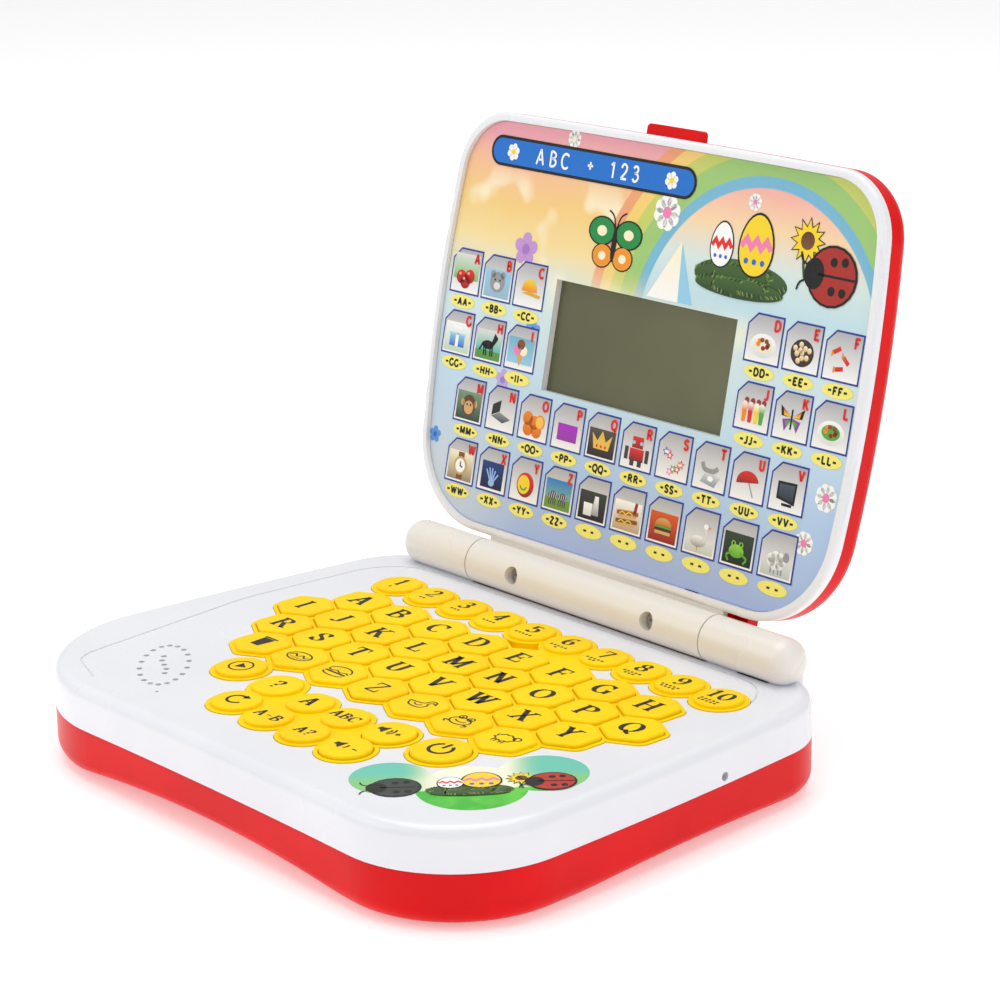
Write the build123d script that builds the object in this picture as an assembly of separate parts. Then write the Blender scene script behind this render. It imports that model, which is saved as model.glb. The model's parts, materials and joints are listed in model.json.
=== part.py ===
"""Toy laptop computer: a battery-powered clamshell with a rubber keypad and a small display.

Millimetres, +Z up, X to the user's right, +Y away from the user. The base is modelled about its
own centre and the lid lying flat in its own frame, X across, Y up the lid and Z out of its face,
with the hinge axis as its X axis. At the end the lid is turned to its resting angle, and
everything is moved so that the origin is under the centre of the whole object's box.
"""
from build123d import *
import math
import os

# ---------------------------------------------------------------- driving dimensions
KEY_PITCH = 18.0            # centre to centre of the letter keys in a row
ROW_PITCH = 15.0            # between rows of letter keys
BASE_DEPTH = 157.0
BASE_WIDTH = 205.0          # over the bulging sides
WALL = 2.2
DECK_Z = 28.4               # top of the base, above the table
DECK_THICK = 2.0
SEAM_Z = 16.0               # parting line between the two base shells
FOOT_PROUD = 1.0            # rubber feet below the bottom shell
OPEN_ANGLE = 102.2          # between the deck and the lid at rest
HINGE_Y = 70.5
HINGE_ABOVE_DECK = 6.2
BARREL_R = 7.0
LID_HEIGHT = 133.0          # along the lid, without the barrel
LID_THICK = 11.0
RIM_BACK = 1.2              # the lid's front rim lies this far behind the hinge axis
BACK_BULGE = 0.6            # how far the back edges bow out
SCREW_R = 1.4
BUSH_R = 3.0                # hollow bushes the lid turns on, with the display cable inside
BUSH_BORE = 1.9
CABLE_R = 1.0
KEY_TRAVEL = 1.0
CLEAR = 0.3                 # gap between pieces that move past each other

# ---------------------------------------------------------------- places worked out from them
HINGE_Z = DECK_Z + HINGE_ABOVE_DECK
DECK_UNDER = DECK_Z - DECK_THICK
MAT_TOP = DECK_Z + 0.3
KEY_TOP = DECK_Z + 1.4
MAT_SHEET_TOP = DECK_UNDER - 0.1
MAT_SHEET_BOTTOM = MAT_SHEET_TOP - 1.5
BOARD_TOP = MAT_SHEET_BOTTOM - 2.2
BOARD_BOTTOM = BOARD_TOP - 1.6
KEY_BOTTOM = BOARD_TOP + KEY_TRAVEL + 0.2
KEYPAD_X = 5.0              # middle of the keypad, right of the middle of the base
KEYPAD_Y = 12.8             # the row I to Q
MIDDLE_HALF = 50.9          # half the length of the barrel's moving middle
KNUCKLE_IN = MIDDLE_HALF + 0.5
LIP_HALF = MIDDLE_HALF + 5.0    # half the length of the lip behind the barrel
KNUCKLE_OUT = 84.0
LID_BOTTOM = BARREL_R + 0.7
LID_TOP = LID_BOTTOM + LID_HEIGHT
RIM_Z = -RIM_BACK           # heights in the lid's own frame
LABEL_Z = RIM_Z - 1.6
PARTING_Z = RIM_Z - 3.0
PANEL_BACK_Z = LABEL_Z - 2.3
LID_BACK_Z = RIM_Z - LID_THICK
CABLE_Z = PANEL_BACK_Z - 2.9

CASE_SCREWS = [(84, 60), (-84, 60), (84, -50), (-84, -50), (0, 66)]
BOARD_SCREWS = [(-76, 34), (85, 34), (78, -18), (56, -54), (-30, -54)]
CHIP_BLOBS = [(48, -30, 6.5), (-52, 40, 5.0)]
LID_SCREWS = [(76, 26), (-76, 26), (77, 124), (-77, 124)]
BARREL_SCREW_X = 29.7
FEET = [(70, -52), (-70, -52), (74, 58), (-74, 58)]

SPEAKER = (-56.0, -47.5)
SPEAKER_R = 14.6
GRILLE_ANGLE = 139.0        # long way of the grille's oval, along the rounded corner
JACK_Y = 26.0
JACK_Z = SEAM_Z + 2.3
JACK_R = 1.3
DECAL_DISCS = [(57.0, -55.5, 10.8), (76.8, -44.4, 14.8), (82.0, -24.2, 12.2)]

BAY = (0.0, 8.0)            # middle of the battery bay
BAY_LENGTH = 60.0
BAY_WIDTH = 47.0
DOOR_TOP = FOOT_PROUD + 2.2
BAY_ROOF = 19.1
CELL_R = 7.1
CELL_LENGTH = 49.0
CELL_PITCH = 15.2
DOOR_TAB_Y = BAY[1] - BAY_WIDTH / 2 - 4.4

LCD_WIDTH = 77.0
LCD_HEIGHT = 34.5
LCD_Y = 73.8


# ---------------------------------------------------------------- small helpers
def box(x0, x1, y0, y1, z0, z1):
    """A block between two corners."""
    place = Pos((x0 + x1) / 2, (y0 + y1) / 2, (z0 + z1) / 2)
    return place * Box(x1 - x0, y1 - y0, z1 - z0)


def rod(x, y, z0, z1, radius):
    """An upright cylinder."""
    return Pos(x, y, (z0 + z1) / 2) * Cylinder(radius, z1 - z0)


def cross_rod(x0, x1, y, z, radius):
    """A cylinder along X."""
    return Pos((x0 + x1) / 2, y, z) * Rot(0, 90, 0) * Cylinder(radius, x1 - x0)


def prism(sketch, z0, z1):
    """A sketch on the ground plane, raised between two heights."""
    return extrude(Pos(0, 0, z0) * sketch, amount=z1 - z0)


def group(shapes):
    """Several separate solids that share one node."""
    solids = []
    for shape in shapes:
        solids.extend(shape.solids())
    return Compound(solids)


def screw(x, y, head_z, tip_z, head_r, shank_r, head_h=1.6):
    """A pan-head screw along Z with its head at head_z and its tip at tip_z, with a cross slot."""
    up = 1 if tip_z > head_z else -1
    under = head_z + up * head_h
    body = rod(x, y, min(head_z, under), max(head_z, under), head_r)
    body += rod(x, y, min(under, tip_z), max(under, tip_z), shank_r)
    slot_low, slot_high = sorted((head_z, head_z + up * head_h / 2))
    for angle in (0, 90):
        blade = Rot(0, 0, angle) * Box(head_r * 1.2, 0.6, slot_high - slot_low)
        body -= Pos(x, y, (slot_low + slot_high) / 2) * blade
    return body


def wire(points, radii, radius):
    """A round wire along straight runs joined by arcs."""
    path = FilletPolyline(*points, radius=radii)
    start = Plane(origin=path @ 0, z_dir=path % 0)
    return sweep(start * Circle(radius), path=path)


# ---------------------------------------------------------------- plan outlines
def bulged_outline(front, back, middle, front_dip, front_r, back_r, inset=0.0):
    """A rounded four-sided plan: corners (half width, y), sides bulging to middle, a dipped front.

    front_r holds the radius of the left front corner and of the right one.
    """
    front = (front[0] - inset, front[1] + inset)
    back = (back[0] - inset, back[1] - inset)
    middle = (middle[0] - inset, middle[1])
    right = [front, middle, back]
    left = [(-x, y) for x, y in right]
    dip = (0, front[1] + front_dip)
    edge = ThreePointArc(left[0], dip, right[0])
    edge += ThreePointArc(*right)
    edge += ThreePointArc(right[2], (0, back[1] + BACK_BULGE), left[2])
    edge += ThreePointArc(*reversed(left))
    face = make_face(edge)
    for side, radius in zip((-1, 1), front_r):
        corner = [v for v in face.vertices() if abs(v.Y - front[1]) < 0.5 and abs(v.X - side * front[0]) < 0.5]
        face = fillet(corner, radius - inset)
    corners = [v for v in face.vertices() if abs(v.Y - back[1]) < 0.5 and abs(abs(v.X) - back[0]) < 0.5]
    return fillet(corners, back_r - inset)


def base_plan(inset=0.0):
    """Plan of the base: widest towards the user, with the front edge drawn in a little.

    The corner under the speaker is the rounder of the two in front.
    """
    half_depth = BASE_DEPTH / 2
    half = BASE_WIDTH / 2
    return bulged_outline(front=(half + 1.5, -half_depth), back=(half - 8.5, half_depth - BACK_BULGE),
                          middle=(half - 0.4, -16.0), front_dip=2.5, front_r=(47.0, 36.0), back_r=25.0, inset=inset)


def lid_plan(inset=0.0):
    """Outline of the lid in its own frame."""
    return bulged_outline(front=(86.4, LID_BOTTOM), back=(87.5, LID_TOP - 2.2), middle=(91.5, 74.7),
                          front_dip=0.2, front_r=(30.0, 30.0), back_r=20.5, inset=inset)


# ---------------------------------------------------------------- keypad layout
def hexagon(grow=0.0):
    """A letter key's plan: a hexagon standing on a point, its corners rounded."""
    half = KEY_PITCH / 2 - 0.75 + grow
    tip = ROW_PITCH * 2 / 3 - 0.75 + grow
    shoulder = ROW_PITCH / 3 - 0.35 + grow / 2
    corners = [(half, shoulder), (0, tip), (-half, shoulder), (-half, -shoulder), (0, -tip), (half, -shoulder)]
    face = make_face(Polyline(*corners, close=True))
    return fillet(face.vertices(), 2.6 + max(grow, 0))


def disc(radius):
    """Plan of a round key, which can be grown like a hexagon."""
    return lambda grow=0.0: Circle(radius + grow)


def row_of_keys(names, row, first):
    """Places of hexagonal keys in one row, from the left."""
    return {name: (hexagon, (first + i) * KEY_PITCH, row * ROW_PITCH) for i, name in enumerate(names)}


def keypad():
    """Every key of the keypad: name to (plan, x, y) about the middle of the row I to Q."""
    keys = {}
    keys.update(row_of_keys("abcdefgh", 1, -3.5))
    keys.update(row_of_keys("ijklmnopq", 0, -4))
    keys.update(row_of_keys("rstuvwxy", -1, -3.5))
    pictures = [f"picture_{number}" for number in range(1, 7)]
    keys.update(row_of_keys(pictures[:3] + ["z"] + pictures[3:], -2, -3))
    for number in range(1, 11):
        keys[f"number_{number}"] = (disc(7.2), 2.0 + (number - 5.5) * 15.5, 33.6)
    keys["demo"] = (disc(7.6), -41.5, -47.0)
    keys["ask"] = (disc(7.6), -22.0, -48.6)
    keys["letter_mode"] = (disc(7.0), -4.6, -50.4)
    keys["word_mode"] = (disc(7.0), 11.4, -50.6)
    keys["volume_up"] = (disc(7.6), 28.6, -49.2)
    keys["power"] = (disc(8.4), 48.0, -47.4)
    keys["reset"] = (disc(7.4), -20.4, -64.2)
    keys["spell_mode"] = (disc(7.0), -4.0, -65.4)
    keys["question_mode"] = (disc(7.0), 12.2, -65.4)
    keys["volume_down"] = (disc(7.4), 29.0, -64.6)
    return keys


KEYS = keypad()
MOVING_KEYS = list("abcdefghijklmnopqrstuvwxyz") + ["power", "volume_up", "volume_down"]


def key_plan(name, grow=0.0):
    """A key's plan at its place on the base."""
    plan, x, y = KEYS[name]
    return Pos(KEYPAD_X + x, KEYPAD_Y + y) * plan(grow)


def keypad_plan(grow):
    """The keypad's outline: every key's plan, grown until they join into one."""
    joined = Sketch() + [key_plan(name, grow) for name in KEYS]
    return make_face(joined.faces()[0].outer_wire())


def key_cap(name, bottom):
    """A key with a softly rounded top edge."""
    cap = prism(key_plan(name), bottom, KEY_TOP)
    return fillet(cap.faces().sort_by(Axis.Z)[-1].edges(), 0.75)


# ---------------------------------------------------------------- the base
def knuckle(side):
    """One end of the hinge barrel, moulded on the deck, with its outer end rounded over."""
    end = cross_rod(KNUCKLE_IN, KNUCKLE_OUT, HINGE_Y, HINGE_Z, BARREL_R)
    end = fillet(end.edges().filter_by(GeomType.CIRCLE).sort_by(Axis.X)[-1], 5.5)
    skirt = box(KNUCKLE_IN, KNUCKLE_OUT - 3.4, HINGE_Y - 1.5, HINGE_Y + BARREL_R - 1.2, DECK_UNDER, HINGE_Z)
    piece = end + skirt
    return piece if side > 0 else mirror(piece, about=Plane.YZ)


def grille_holes():
    """Sound holes: an oval ring with a short row along its middle."""
    ring = []
    for i in range(18):
        angle = math.radians(20 * i)
        ring.append((16.5 * math.cos(angle), 7.0 * math.sin(angle)))
    ring += [(along, 1.1 * math.sin(along / 3.2)) for along in (-7.2, -3.6, 0, 3.6, 7.2)]
    place = Pos(*SPEAKER) * Rot(0, 0, GRILLE_ANGLE)
    return [place * Pos(x, y) * Circle(0.9) for x, y in ring]


def deck_groove():
    """A shallow line engraved round the left, the back and the right corner of the deck."""
    left = -BASE_WIDTH / 2 + 14.0
    back = HINGE_Y - BARREL_R + 0.6
    path = FilletPolyline((-62, -68), (left + 9, -62), (left, 6), (left + 4, back), (81, back), (85, 46),
                          radius=[10, 60, 19, 17])
    return prism(trace(path, line_width=0.7), DECK_Z - 0.45, DECK_Z + 1)


def decal_plan():
    """Three overlapping discs round the front right corner."""
    return Sketch() + [Pos(x, y) * Circle(radius) for x, y, radius in DECAL_DISCS]


def make_top_shell():
    """White upper shell: deck, side walls, hinge knuckles and the screw posts under the deck."""
    shell = prism(base_plan(), SEAM_Z, DECK_Z)
    shell = fillet(shell.faces().sort_by(Axis.Z)[-1].edges(), 3.4)
    shell -= prism(base_plan(WALL), SEAM_Z - 1, DECK_UNDER)
    shell += knuckle(1) + knuckle(-1)
    shell -= cross_rod(-KNUCKLE_IN, KNUCKLE_IN, HINGE_Y, HINGE_Z, BARREL_R + 0.4)
    shell -= cross_rod(-KNUCKLE_OUT + 20, -KNUCKLE_IN + 1, HINGE_Y, HINGE_Z, BUSH_R)
    shell -= cross_rod(KNUCKLE_IN - 1, KNUCKLE_OUT - 19, HINGE_Y, HINGE_Z, BUSH_R)
    shell -= box(64, 76, HINGE_Y - 4, HINGE_Y + 4, DECK_UNDER - 1, HINGE_Z + 4)
    for x, y in CASE_SCREWS:
        shell += rod(x, y, SEAM_Z, DECK_UNDER + 0.5, 4.0)
        shell -= rod(x, y, SEAM_Z - 1, SEAM_Z + 7, SCREW_R)
    for x, y in BOARD_SCREWS:
        shell += rod(x, y, BOARD_TOP, DECK_UNDER + 0.5, 2.8)
        shell -= rod(x, y, BOARD_TOP - 1, BOARD_TOP + 2.5, 1.0)
    shell -= prism(keypad_plan(1.5 + CLEAR / 2), DECK_UNDER - 1, DECK_Z + 1)
    shell -= prism(Sketch() + grille_holes(), DECK_UNDER - 1, DECK_Z + 1)
    shell -= rod(-39, -62, DECK_UNDER - 1, DECK_Z + 1, 0.5)
    shell -= prism(decal_plan(), DECK_Z - 0.25, DECK_Z + 1)
    shell -= deck_groove()
    collar = rod(*SPEAKER, BOARD_TOP + 0.2, DECK_UNDER, SPEAKER_R + 1.8)
    shell += collar - rod(*SPEAKER, BOARD_TOP, DECK_UNDER, SPEAKER_R + 0.3)
    shell -= cross_rod(80, 110, JACK_Y, JACK_Z, JACK_R)
    return shell


def finger_scallop():
    """Cutter that lifts the middle of the front edge, fading out under the base."""
    sagitta, half_chord, run = 4.6, 74.0, 44.0
    radius = (half_chord**2 + sagitta**2) / (2 * sagitta)
    tilt = math.degrees(math.atan(sagitta / run))
    low_edge = Pos(0, -BASE_DEPTH / 2, FOOT_PROUD + sagitta)
    return low_edge * Rot(-tilt, 0, 0) * Pos(0, 0, -radius) * Rot(90, 0, 0) * Cylinder(radius, 120)


def side_scallop(side):
    """Cutter that lifts the lower edge along one side."""
    sagitta, half_chord, run = 2.6, 56.0, 30.0
    radius = (half_chord**2 + sagitta**2) / (2 * sagitta)
    tilt = math.degrees(math.atan(sagitta / run))
    low_edge = Pos(side * BASE_WIDTH / 2, 18, FOOT_PROUD + sagitta)
    return low_edge * Rot(0, -side * tilt, 0) * Pos(0, 0, -radius) * Rot(0, 90, 0) * Cylinder(radius, 100)


def make_bottom_shell():
    """Red lower shell: a tub with lifted edges, screw wells and the battery bay."""
    scallops = [finger_scallop(), side_scallop(1), side_scallop(-1)]
    outer = prism(base_plan(), FOOT_PROUD, SEAM_Z - 0.1)
    outer = fillet(outer.faces().sort_by(Axis.Z)[0].edges(), 5.0)
    inner = prism(base_plan(WALL), FOOT_PROUD + WALL, SEAM_Z + 1)
    for cutter in scallops:
        outer -= cutter
        inner -= Pos(0, 0, WALL) * cutter
    lifted = [e for e in outer.edges() if FOOT_PROUD + 0.2 < e.center().Z < SEAM_Z - 4 and not under_floor(e)]
    outer = fillet(lifted, 3.0)
    shell = outer - inner
    x, y = BAY
    half_l, half_w = BAY_LENGTH / 2, BAY_WIDTH / 2
    shell += box(x - half_l - 1.8, x + half_l + 1.8, y - half_w - 1.8, y + half_w + 1.8, FOOT_PROUD, BAY_ROOF + 1.5)
    shell -= box(x - half_l, x + half_l, y - half_w, y + half_w, DOOR_TOP, BAY_ROOF)
    shell += box(x - 5, x + 5, y - half_w - 10, y - half_w - 1, FOOT_PROUD, DOOR_TOP + 8)
    shell -= box(x - half_l - CLEAR, x + half_l + CLEAR, y - half_w - CLEAR, y + half_w + CLEAR, 0, DOOR_TOP + 0.01)
    shell -= box(x - 6, x + 6, DOOR_TAB_Y - 4.6, y - half_w, 0, DOOR_TOP + 0.01)
    shell -= rod(x, DOOR_TAB_Y, 0, DOOR_TOP + 6.5, 2.6)
    for x, y in CASE_SCREWS:
        shell += rod(x, y, FOOT_PROUD + 1.5, SEAM_Z - 0.4, 4.8)
        shell -= rod(x, y, 0, 8.4, 3.3)
        shell -= rod(x, y, 8, SEAM_Z + 1, 1.6)
    for x, y in FEET:
        shell -= rod(x, y, 0, FOOT_PROUD + 0.8, 5.0)
    return shell


def under_floor(edge):
    """True for an edge well inside the outline, where a scallop fades into the flat underside."""
    middle = edge.center()
    return base_plan(6.0).is_inside(Vector(middle.X, middle.Y, 0))


def make_mat():
    """Rubber sheet under the deck with a plateau that fills the opening, holes for the keys that
    move on their own and the other keys moulded on it."""
    mat = prism(keypad_plan(3.2), MAT_SHEET_BOTTOM, MAT_SHEET_TOP)
    plateau = prism(keypad_plan(1.5), MAT_SHEET_BOTTOM, MAT_TOP)
    mat += plateau
    for name in KEYS:
        if name in MOVING_KEYS:
            mat -= prism(key_plan(name, CLEAR - 0.05), KEY_BOTTOM - 3, KEY_TOP + 1)
        else:
            mat += key_cap(name, MAT_SHEET_BOTTOM + 0.5)
    return mat - rod(*SPEAKER, MAT_SHEET_BOTTOM - 1, DECK_UNDER + 0.1, SPEAKER_R + 2.1)


def make_board():
    """Circuit board under the keypad, cut away round the speaker, with two chips under resin."""
    corners = [(-75, 55), (77, 55), (89, 43), (89, -26), (66, -59), (-31, -59), (-82, 24), (-82, 48)]
    board = prism(make_face(Polyline(*corners, close=True)), BOARD_BOTTOM, BOARD_TOP)
    for x, y in BOARD_SCREWS:
        board -= rod(x, y, BOARD_BOTTOM - 1, BOARD_TOP + 1, 1.3)
    for x, y, radius in CHIP_BLOBS:
        board += rod(x, y, BOARD_BOTTOM - 1.5, BOARD_BOTTOM, radius)
    return board


def make_speaker():
    """Basket, cone and magnet of the small loudspeaker behind the grille."""
    x, y = SPEAKER
    floor_z = BOARD_TOP
    basket = rod(x, y, floor_z, DECK_UNDER - 0.1, SPEAKER_R) - rod(x, y, floor_z + 0.8, DECK_UNDER + 1, 13.0)
    basket += rod(x, y, floor_z - 1.2, floor_z, 9.5)
    basket -= rod(x, y, floor_z - 2, floor_z + 2, 6.2)
    magnet = rod(x, y, floor_z - 5.6, floor_z - 1.2, 8.6)
    bowl = Pos(x, y, floor_z + 1.6) * Cone(5.0, 12.6, 1.8)
    hollow = Pos(x, y, floor_z + 2.0) * Cone(4.6, 12.3, 1.8)
    return basket, magnet, bowl - hollow


def make_jack():
    """Socket behind the hole in the right wall."""
    wall_x = BASE_WIDTH / 2 - 6.3
    body = box(wall_x - 14, wall_x, JACK_Y - 4, JACK_Y + 4, SEAM_Z + 0.3, SEAM_Z + 4.6)
    body -= cross_rod(wall_x - 12, wall_x + 1, JACK_Y, JACK_Z, JACK_R)
    return body


def make_battery_parts():
    """Three cells side by side with their coil springs and contact plates."""
    x, y = BAY
    rows = [(y - CELL_PITCH, 1), (y, -1), (y + CELL_PITCH, 1)]
    cell_z = DOOR_TOP + 0.5 + CELL_R
    cells, springs, plates = [], [], []
    for row_y, way in rows:
        middle = x + way * 2.2
        half = CELL_LENGTH / 2
        cell = cross_rod(middle - half, middle + half, row_y, cell_z, CELL_R)
        nub = sorted((middle + way * half, middle + way * (half + 1.0)))
        cell += cross_rod(nub[0], nub[1], row_y, cell_z, 2.6)
        cells.append(cell)
        wall = x - way * (BAY_LENGTH / 2 - 0.6)
        coil_end = middle - way * half
        low, high = sorted((wall, coil_end))
        coil = cross_rod(low, high, row_y, cell_z, 4.0) - cross_rod(low, high, row_y, cell_z, 3.2)
        springs.append(coil)
    for end in (-1, 1):
        outer = x + end * BAY_LENGTH / 2
        low, high = sorted((outer, outer - end * 0.6))
        for row_y, _ in rows:
            plates.append(box(low, high, row_y - 5, row_y + 5, cell_z - 5, cell_z + 5))
    return group(cells), group(springs), group(plates)


def make_door():
    """Battery door, flush with the underside, with a tab for its screw."""
    x, y = BAY
    half_l, half_w = BAY_LENGTH / 2, BAY_WIDTH / 2
    door = box(x - half_l, x + half_l, y - half_w, y + half_w, FOOT_PROUD + 0.1, DOOR_TOP - 0.3)
    tab = box(x - 5.6, x + 5.6, DOOR_TAB_Y - 4.2, y - half_w, FOOT_PROUD + 0.1, DOOR_TOP - 0.3)
    door += tab
    for offset_x in (-12, -6, 0, 6, 12):
        door -= box(x + offset_x - 0.8, x + offset_x + 0.8, y + 8, y + 18, 0, FOOT_PROUD + 0.6)
    door -= rod(x, DOOR_TAB_Y, 0, FOOT_PROUD + 1.15, 2.9)
    door -= rod(x, DOOR_TAB_Y, 0, DOOR_TOP, SCREW_R)
    bolt = screw(x, DOOR_TAB_Y, FOOT_PROUD + 0.15, DOOR_TOP + 5.0, 2.6, SCREW_R, head_h=1.0)
    return door, bolt


def base_nodes():
    """Every node that stays with the base, and the battery door."""
    basket, magnet, cone = make_speaker()
    cells, springs, plates = make_battery_parts()
    door, door_screw = make_door()
    bush_x = [(KNUCKLE_IN - 7.4, KNUCKLE_IN + 12.6), (-KNUCKLE_IN - 12.6, -KNUCKLE_IN + 7.4)]
    bushes = [cross_rod(a, b, HINGE_Y, HINGE_Z, BUSH_R) - cross_rod(a - 1, b + 1, HINGE_Y, HINGE_Z, BUSH_BORE)
              for a, b in bush_x]
    washers = []
    for side in (1, -1):
        low, high = sorted((side * (KNUCKLE_IN - 0.4), side * KNUCKLE_IN))
        ring = cross_rod(low, high, HINGE_Y, HINGE_Z, 5.6)
        washers.append(ring - cross_rod(low - 1, high + 1, HINGE_Y, HINGE_Z, BUSH_R))
    cable = wire([(58, 50, 23.6), (70, 60, 23.6), (70, HINGE_Y, 23.6), (70, HINGE_Y, HINGE_Z),
                  (50, HINGE_Y, HINGE_Z)], [5, 4.2, 4.2], CABLE_R)
    x, y = SPEAKER
    lead_z = BOARD_BOTTOM - 0.65
    speaker_leads = [wire([(x + 8.6, y + gap, 19.4), (x + 20, y + gap, 19.4), (x + 30, y + 6 + gap, lead_z),
                           (x + 42, y + 6 + gap, lead_z)], [8, 8], 0.6) for gap in (-2, 2)]
    bay_side = BAY[0] + BAY_LENGTH / 2 + 2.4
    battery_leads = [wire([(bay_side, BAY[1] + gap, 12), (bay_side + 12, BAY[1] + gap, 12),
                           (bay_side + 18, BAY[1] + gap, lead_z), (bay_side + 30, BAY[1] + gap, lead_z)],
                          [5, 5], 0.6) for gap in (-3, 3)]
    nodes = {
        "base_top_shell": make_top_shell(),
        "base_bottom_shell": make_bottom_shell(),
        "keypad_mat": make_mat(),
        "corner_decal": prism(decal_plan(), DECK_Z - 0.25, DECK_Z + 0.05),
        "keypad_board": make_board(),
        "board_screws": group([screw(px, py, BOARD_BOTTOM - 1.6, BOARD_TOP + 2.2, 2.2, 1.0)
                               for px, py in BOARD_SCREWS]),
        "speaker_basket": basket,
        "speaker_magnet": magnet,
        "speaker_cone": cone,
        "speaker_wires": group(speaker_leads),
        "jack_socket": make_jack(),
        "hinge_bushes": group(bushes),
        "hinge_washers": group(washers),
        "display_cable_base": cable,
        "battery_cells": cells,
        "battery_springs": springs,
        "battery_plates": plates,
        "battery_wires": group(battery_leads),
        "battery_door": door,
        "battery_door_screw": door_screw,
        "case_screws": group([screw(px, py, 6.6, SEAM_Z + 6, 2.9, SCREW_R) for px, py in CASE_SCREWS]),
        "rubber_feet": group([fillet(rod(px, py, 0, FOOT_PROUD + 0.8, 5.0).edges().sort_by(Axis.Z)[0], 0.5)
                              for px, py in FEET]),
    }
    for name in MOVING_KEYS:
        nodes[f"key_{name}"] = key_cap(name, KEY_BOTTOM)
    return nodes


# ---------------------------------------------------------------- the lid, in its own flat frame
def barrel_cuts():
    """Bores for the bushes, the cable's way into the lid and the two screw wells."""
    cuts = [cross_rod(KNUCKLE_IN - 8.2, MIDDLE_HALF + 1, 0, 0, BUSH_R + 0.06),
            cross_rod(-MIDDLE_HALF - 1, -KNUCKLE_IN + 8.2, 0, 0, BUSH_R + 0.06),
            box(34, KNUCKLE_IN - 8, -2.4, 2.4, -2.4, 2.4),
            box(34, 39.6, -2.4, LID_BOTTOM + 4, CABLE_Z - 1.2, -2.4),
            box(34, 39.6, -2.4, 2.4, -4.2, 2.4)]
    for x in (-BARREL_SCREW_X, BARREL_SCREW_X):
        cuts.append(rod(x, 0, 2.0, BARREL_R + 1, 2.8))
        cuts.append(rod(x, 0, -9.4, 3, SCREW_R))
    return cuts


def make_bezel():
    """White front of the lid: raised rim, recessed panel, display clips and the front of the barrel."""
    frame_part = prism(lid_plan(), PARTING_Z, RIM_Z)
    frame_part = fillet(frame_part.faces().sort_by(Axis.Z)[-1].edges(), 1.3)
    bezel = frame_part + prism(lid_plan(WALL), PANEL_BACK_Z, PARTING_Z)
    bezel -= prism(lid_plan(2.6), LABEL_Z - 0.5, RIM_Z + 1)
    bezel -= Pos(0, LCD_Y, 0) * Box(LCD_WIDTH, LCD_HEIGHT, 40)
    barrel = cross_rod(-MIDDLE_HALF, MIDDLE_HALF, 0, 0, BARREL_R)
    barrel += box(-MIDDLE_HALF, MIDDLE_HALF, 0, LID_BOTTOM + 1.2, PARTING_Z, RIM_Z - 1.0)
    barrel -= box(-60, 60, -20, 20, -20, PARTING_Z)
    bezel += barrel
    for side in (-1, 1):
        x0, x1 = sorted((side * 44.2, side * 46.4))
        bezel += box(x0, x1, LCD_Y - 6, LCD_Y + 6, PANEL_BACK_Z - 4.0, PANEL_BACK_Z + 0.5)
    for x, y in LID_SCREWS:
        bezel += rod(x, y, LID_BACK_Z + 3.4, PANEL_BACK_Z + 0.5, 3.0)
        bezel -= rod(x, y, LID_BACK_Z + 3, PANEL_BACK_Z + 0.4, 1.1)
    for cut in barrel_cuts():
        bezel -= cut
    return bezel


def make_rear_cover():
    """Red back of the lid, with the finger tab on top and the lip that runs behind the barrel."""
    cover = prism(lid_plan(), LID_BACK_Z, PARTING_Z - 0.1)
    cover = fillet(cover.faces().sort_by(Axis.Z)[0].edges(), 4.2)
    cover -= prism(lid_plan(WALL), LID_BACK_Z + 2.0, PARTING_Z + 1)
    lip = box(-LIP_HALF, LIP_HALF, -2, LID_BOTTOM + 3, LID_BACK_Z, -BARREL_R - 0.8)
    lip = fillet(lip.edges().filter_by(Axis.X).sort_by(Axis.Y)[:2].sort_by(Axis.Z)[0], 3.0)
    web = box(-MIDDLE_HALF, MIDDLE_HALF, -2, LID_BOTTOM + 1.5, -BARREL_R - 1.2, PARTING_Z - 0.1)
    web += cross_rod(-MIDDLE_HALF, MIDDLE_HALF, 0, 0, BARREL_R) - box(-60, 60, -20, 20, PARTING_Z - 0.1, 20)
    cover += lip + web
    tab = box(-11, 11, LID_TOP - 3, LID_TOP + 1.6, PARTING_Z - 3.6, PARTING_Z - 0.1)
    cover += fillet(tab.edges().filter_by(Axis.Z).sort_by(Axis.Y)[-2:], 1.4)
    for x0, x1 in ((-24, 24), (-48, -36)):
        cover -= box(x0, x1, 0.5, LID_BOTTOM + 4, LID_BACK_Z + 2, PARTING_Z - 1.0)
    for x, y in LID_SCREWS:
        cover += rod(x, y, LID_BACK_Z + 0.2, LID_BACK_Z + 3.3, 4.4)
        cover -= rod(x, y, LID_BACK_Z - 1, LID_BACK_Z + 1.9, 2.7)
        cover -= rod(x, y, LID_BACK_Z, LID_BACK_Z + 4, 1.3)
    for cut in barrel_cuts():
        cover -= cut
    return cover


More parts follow.
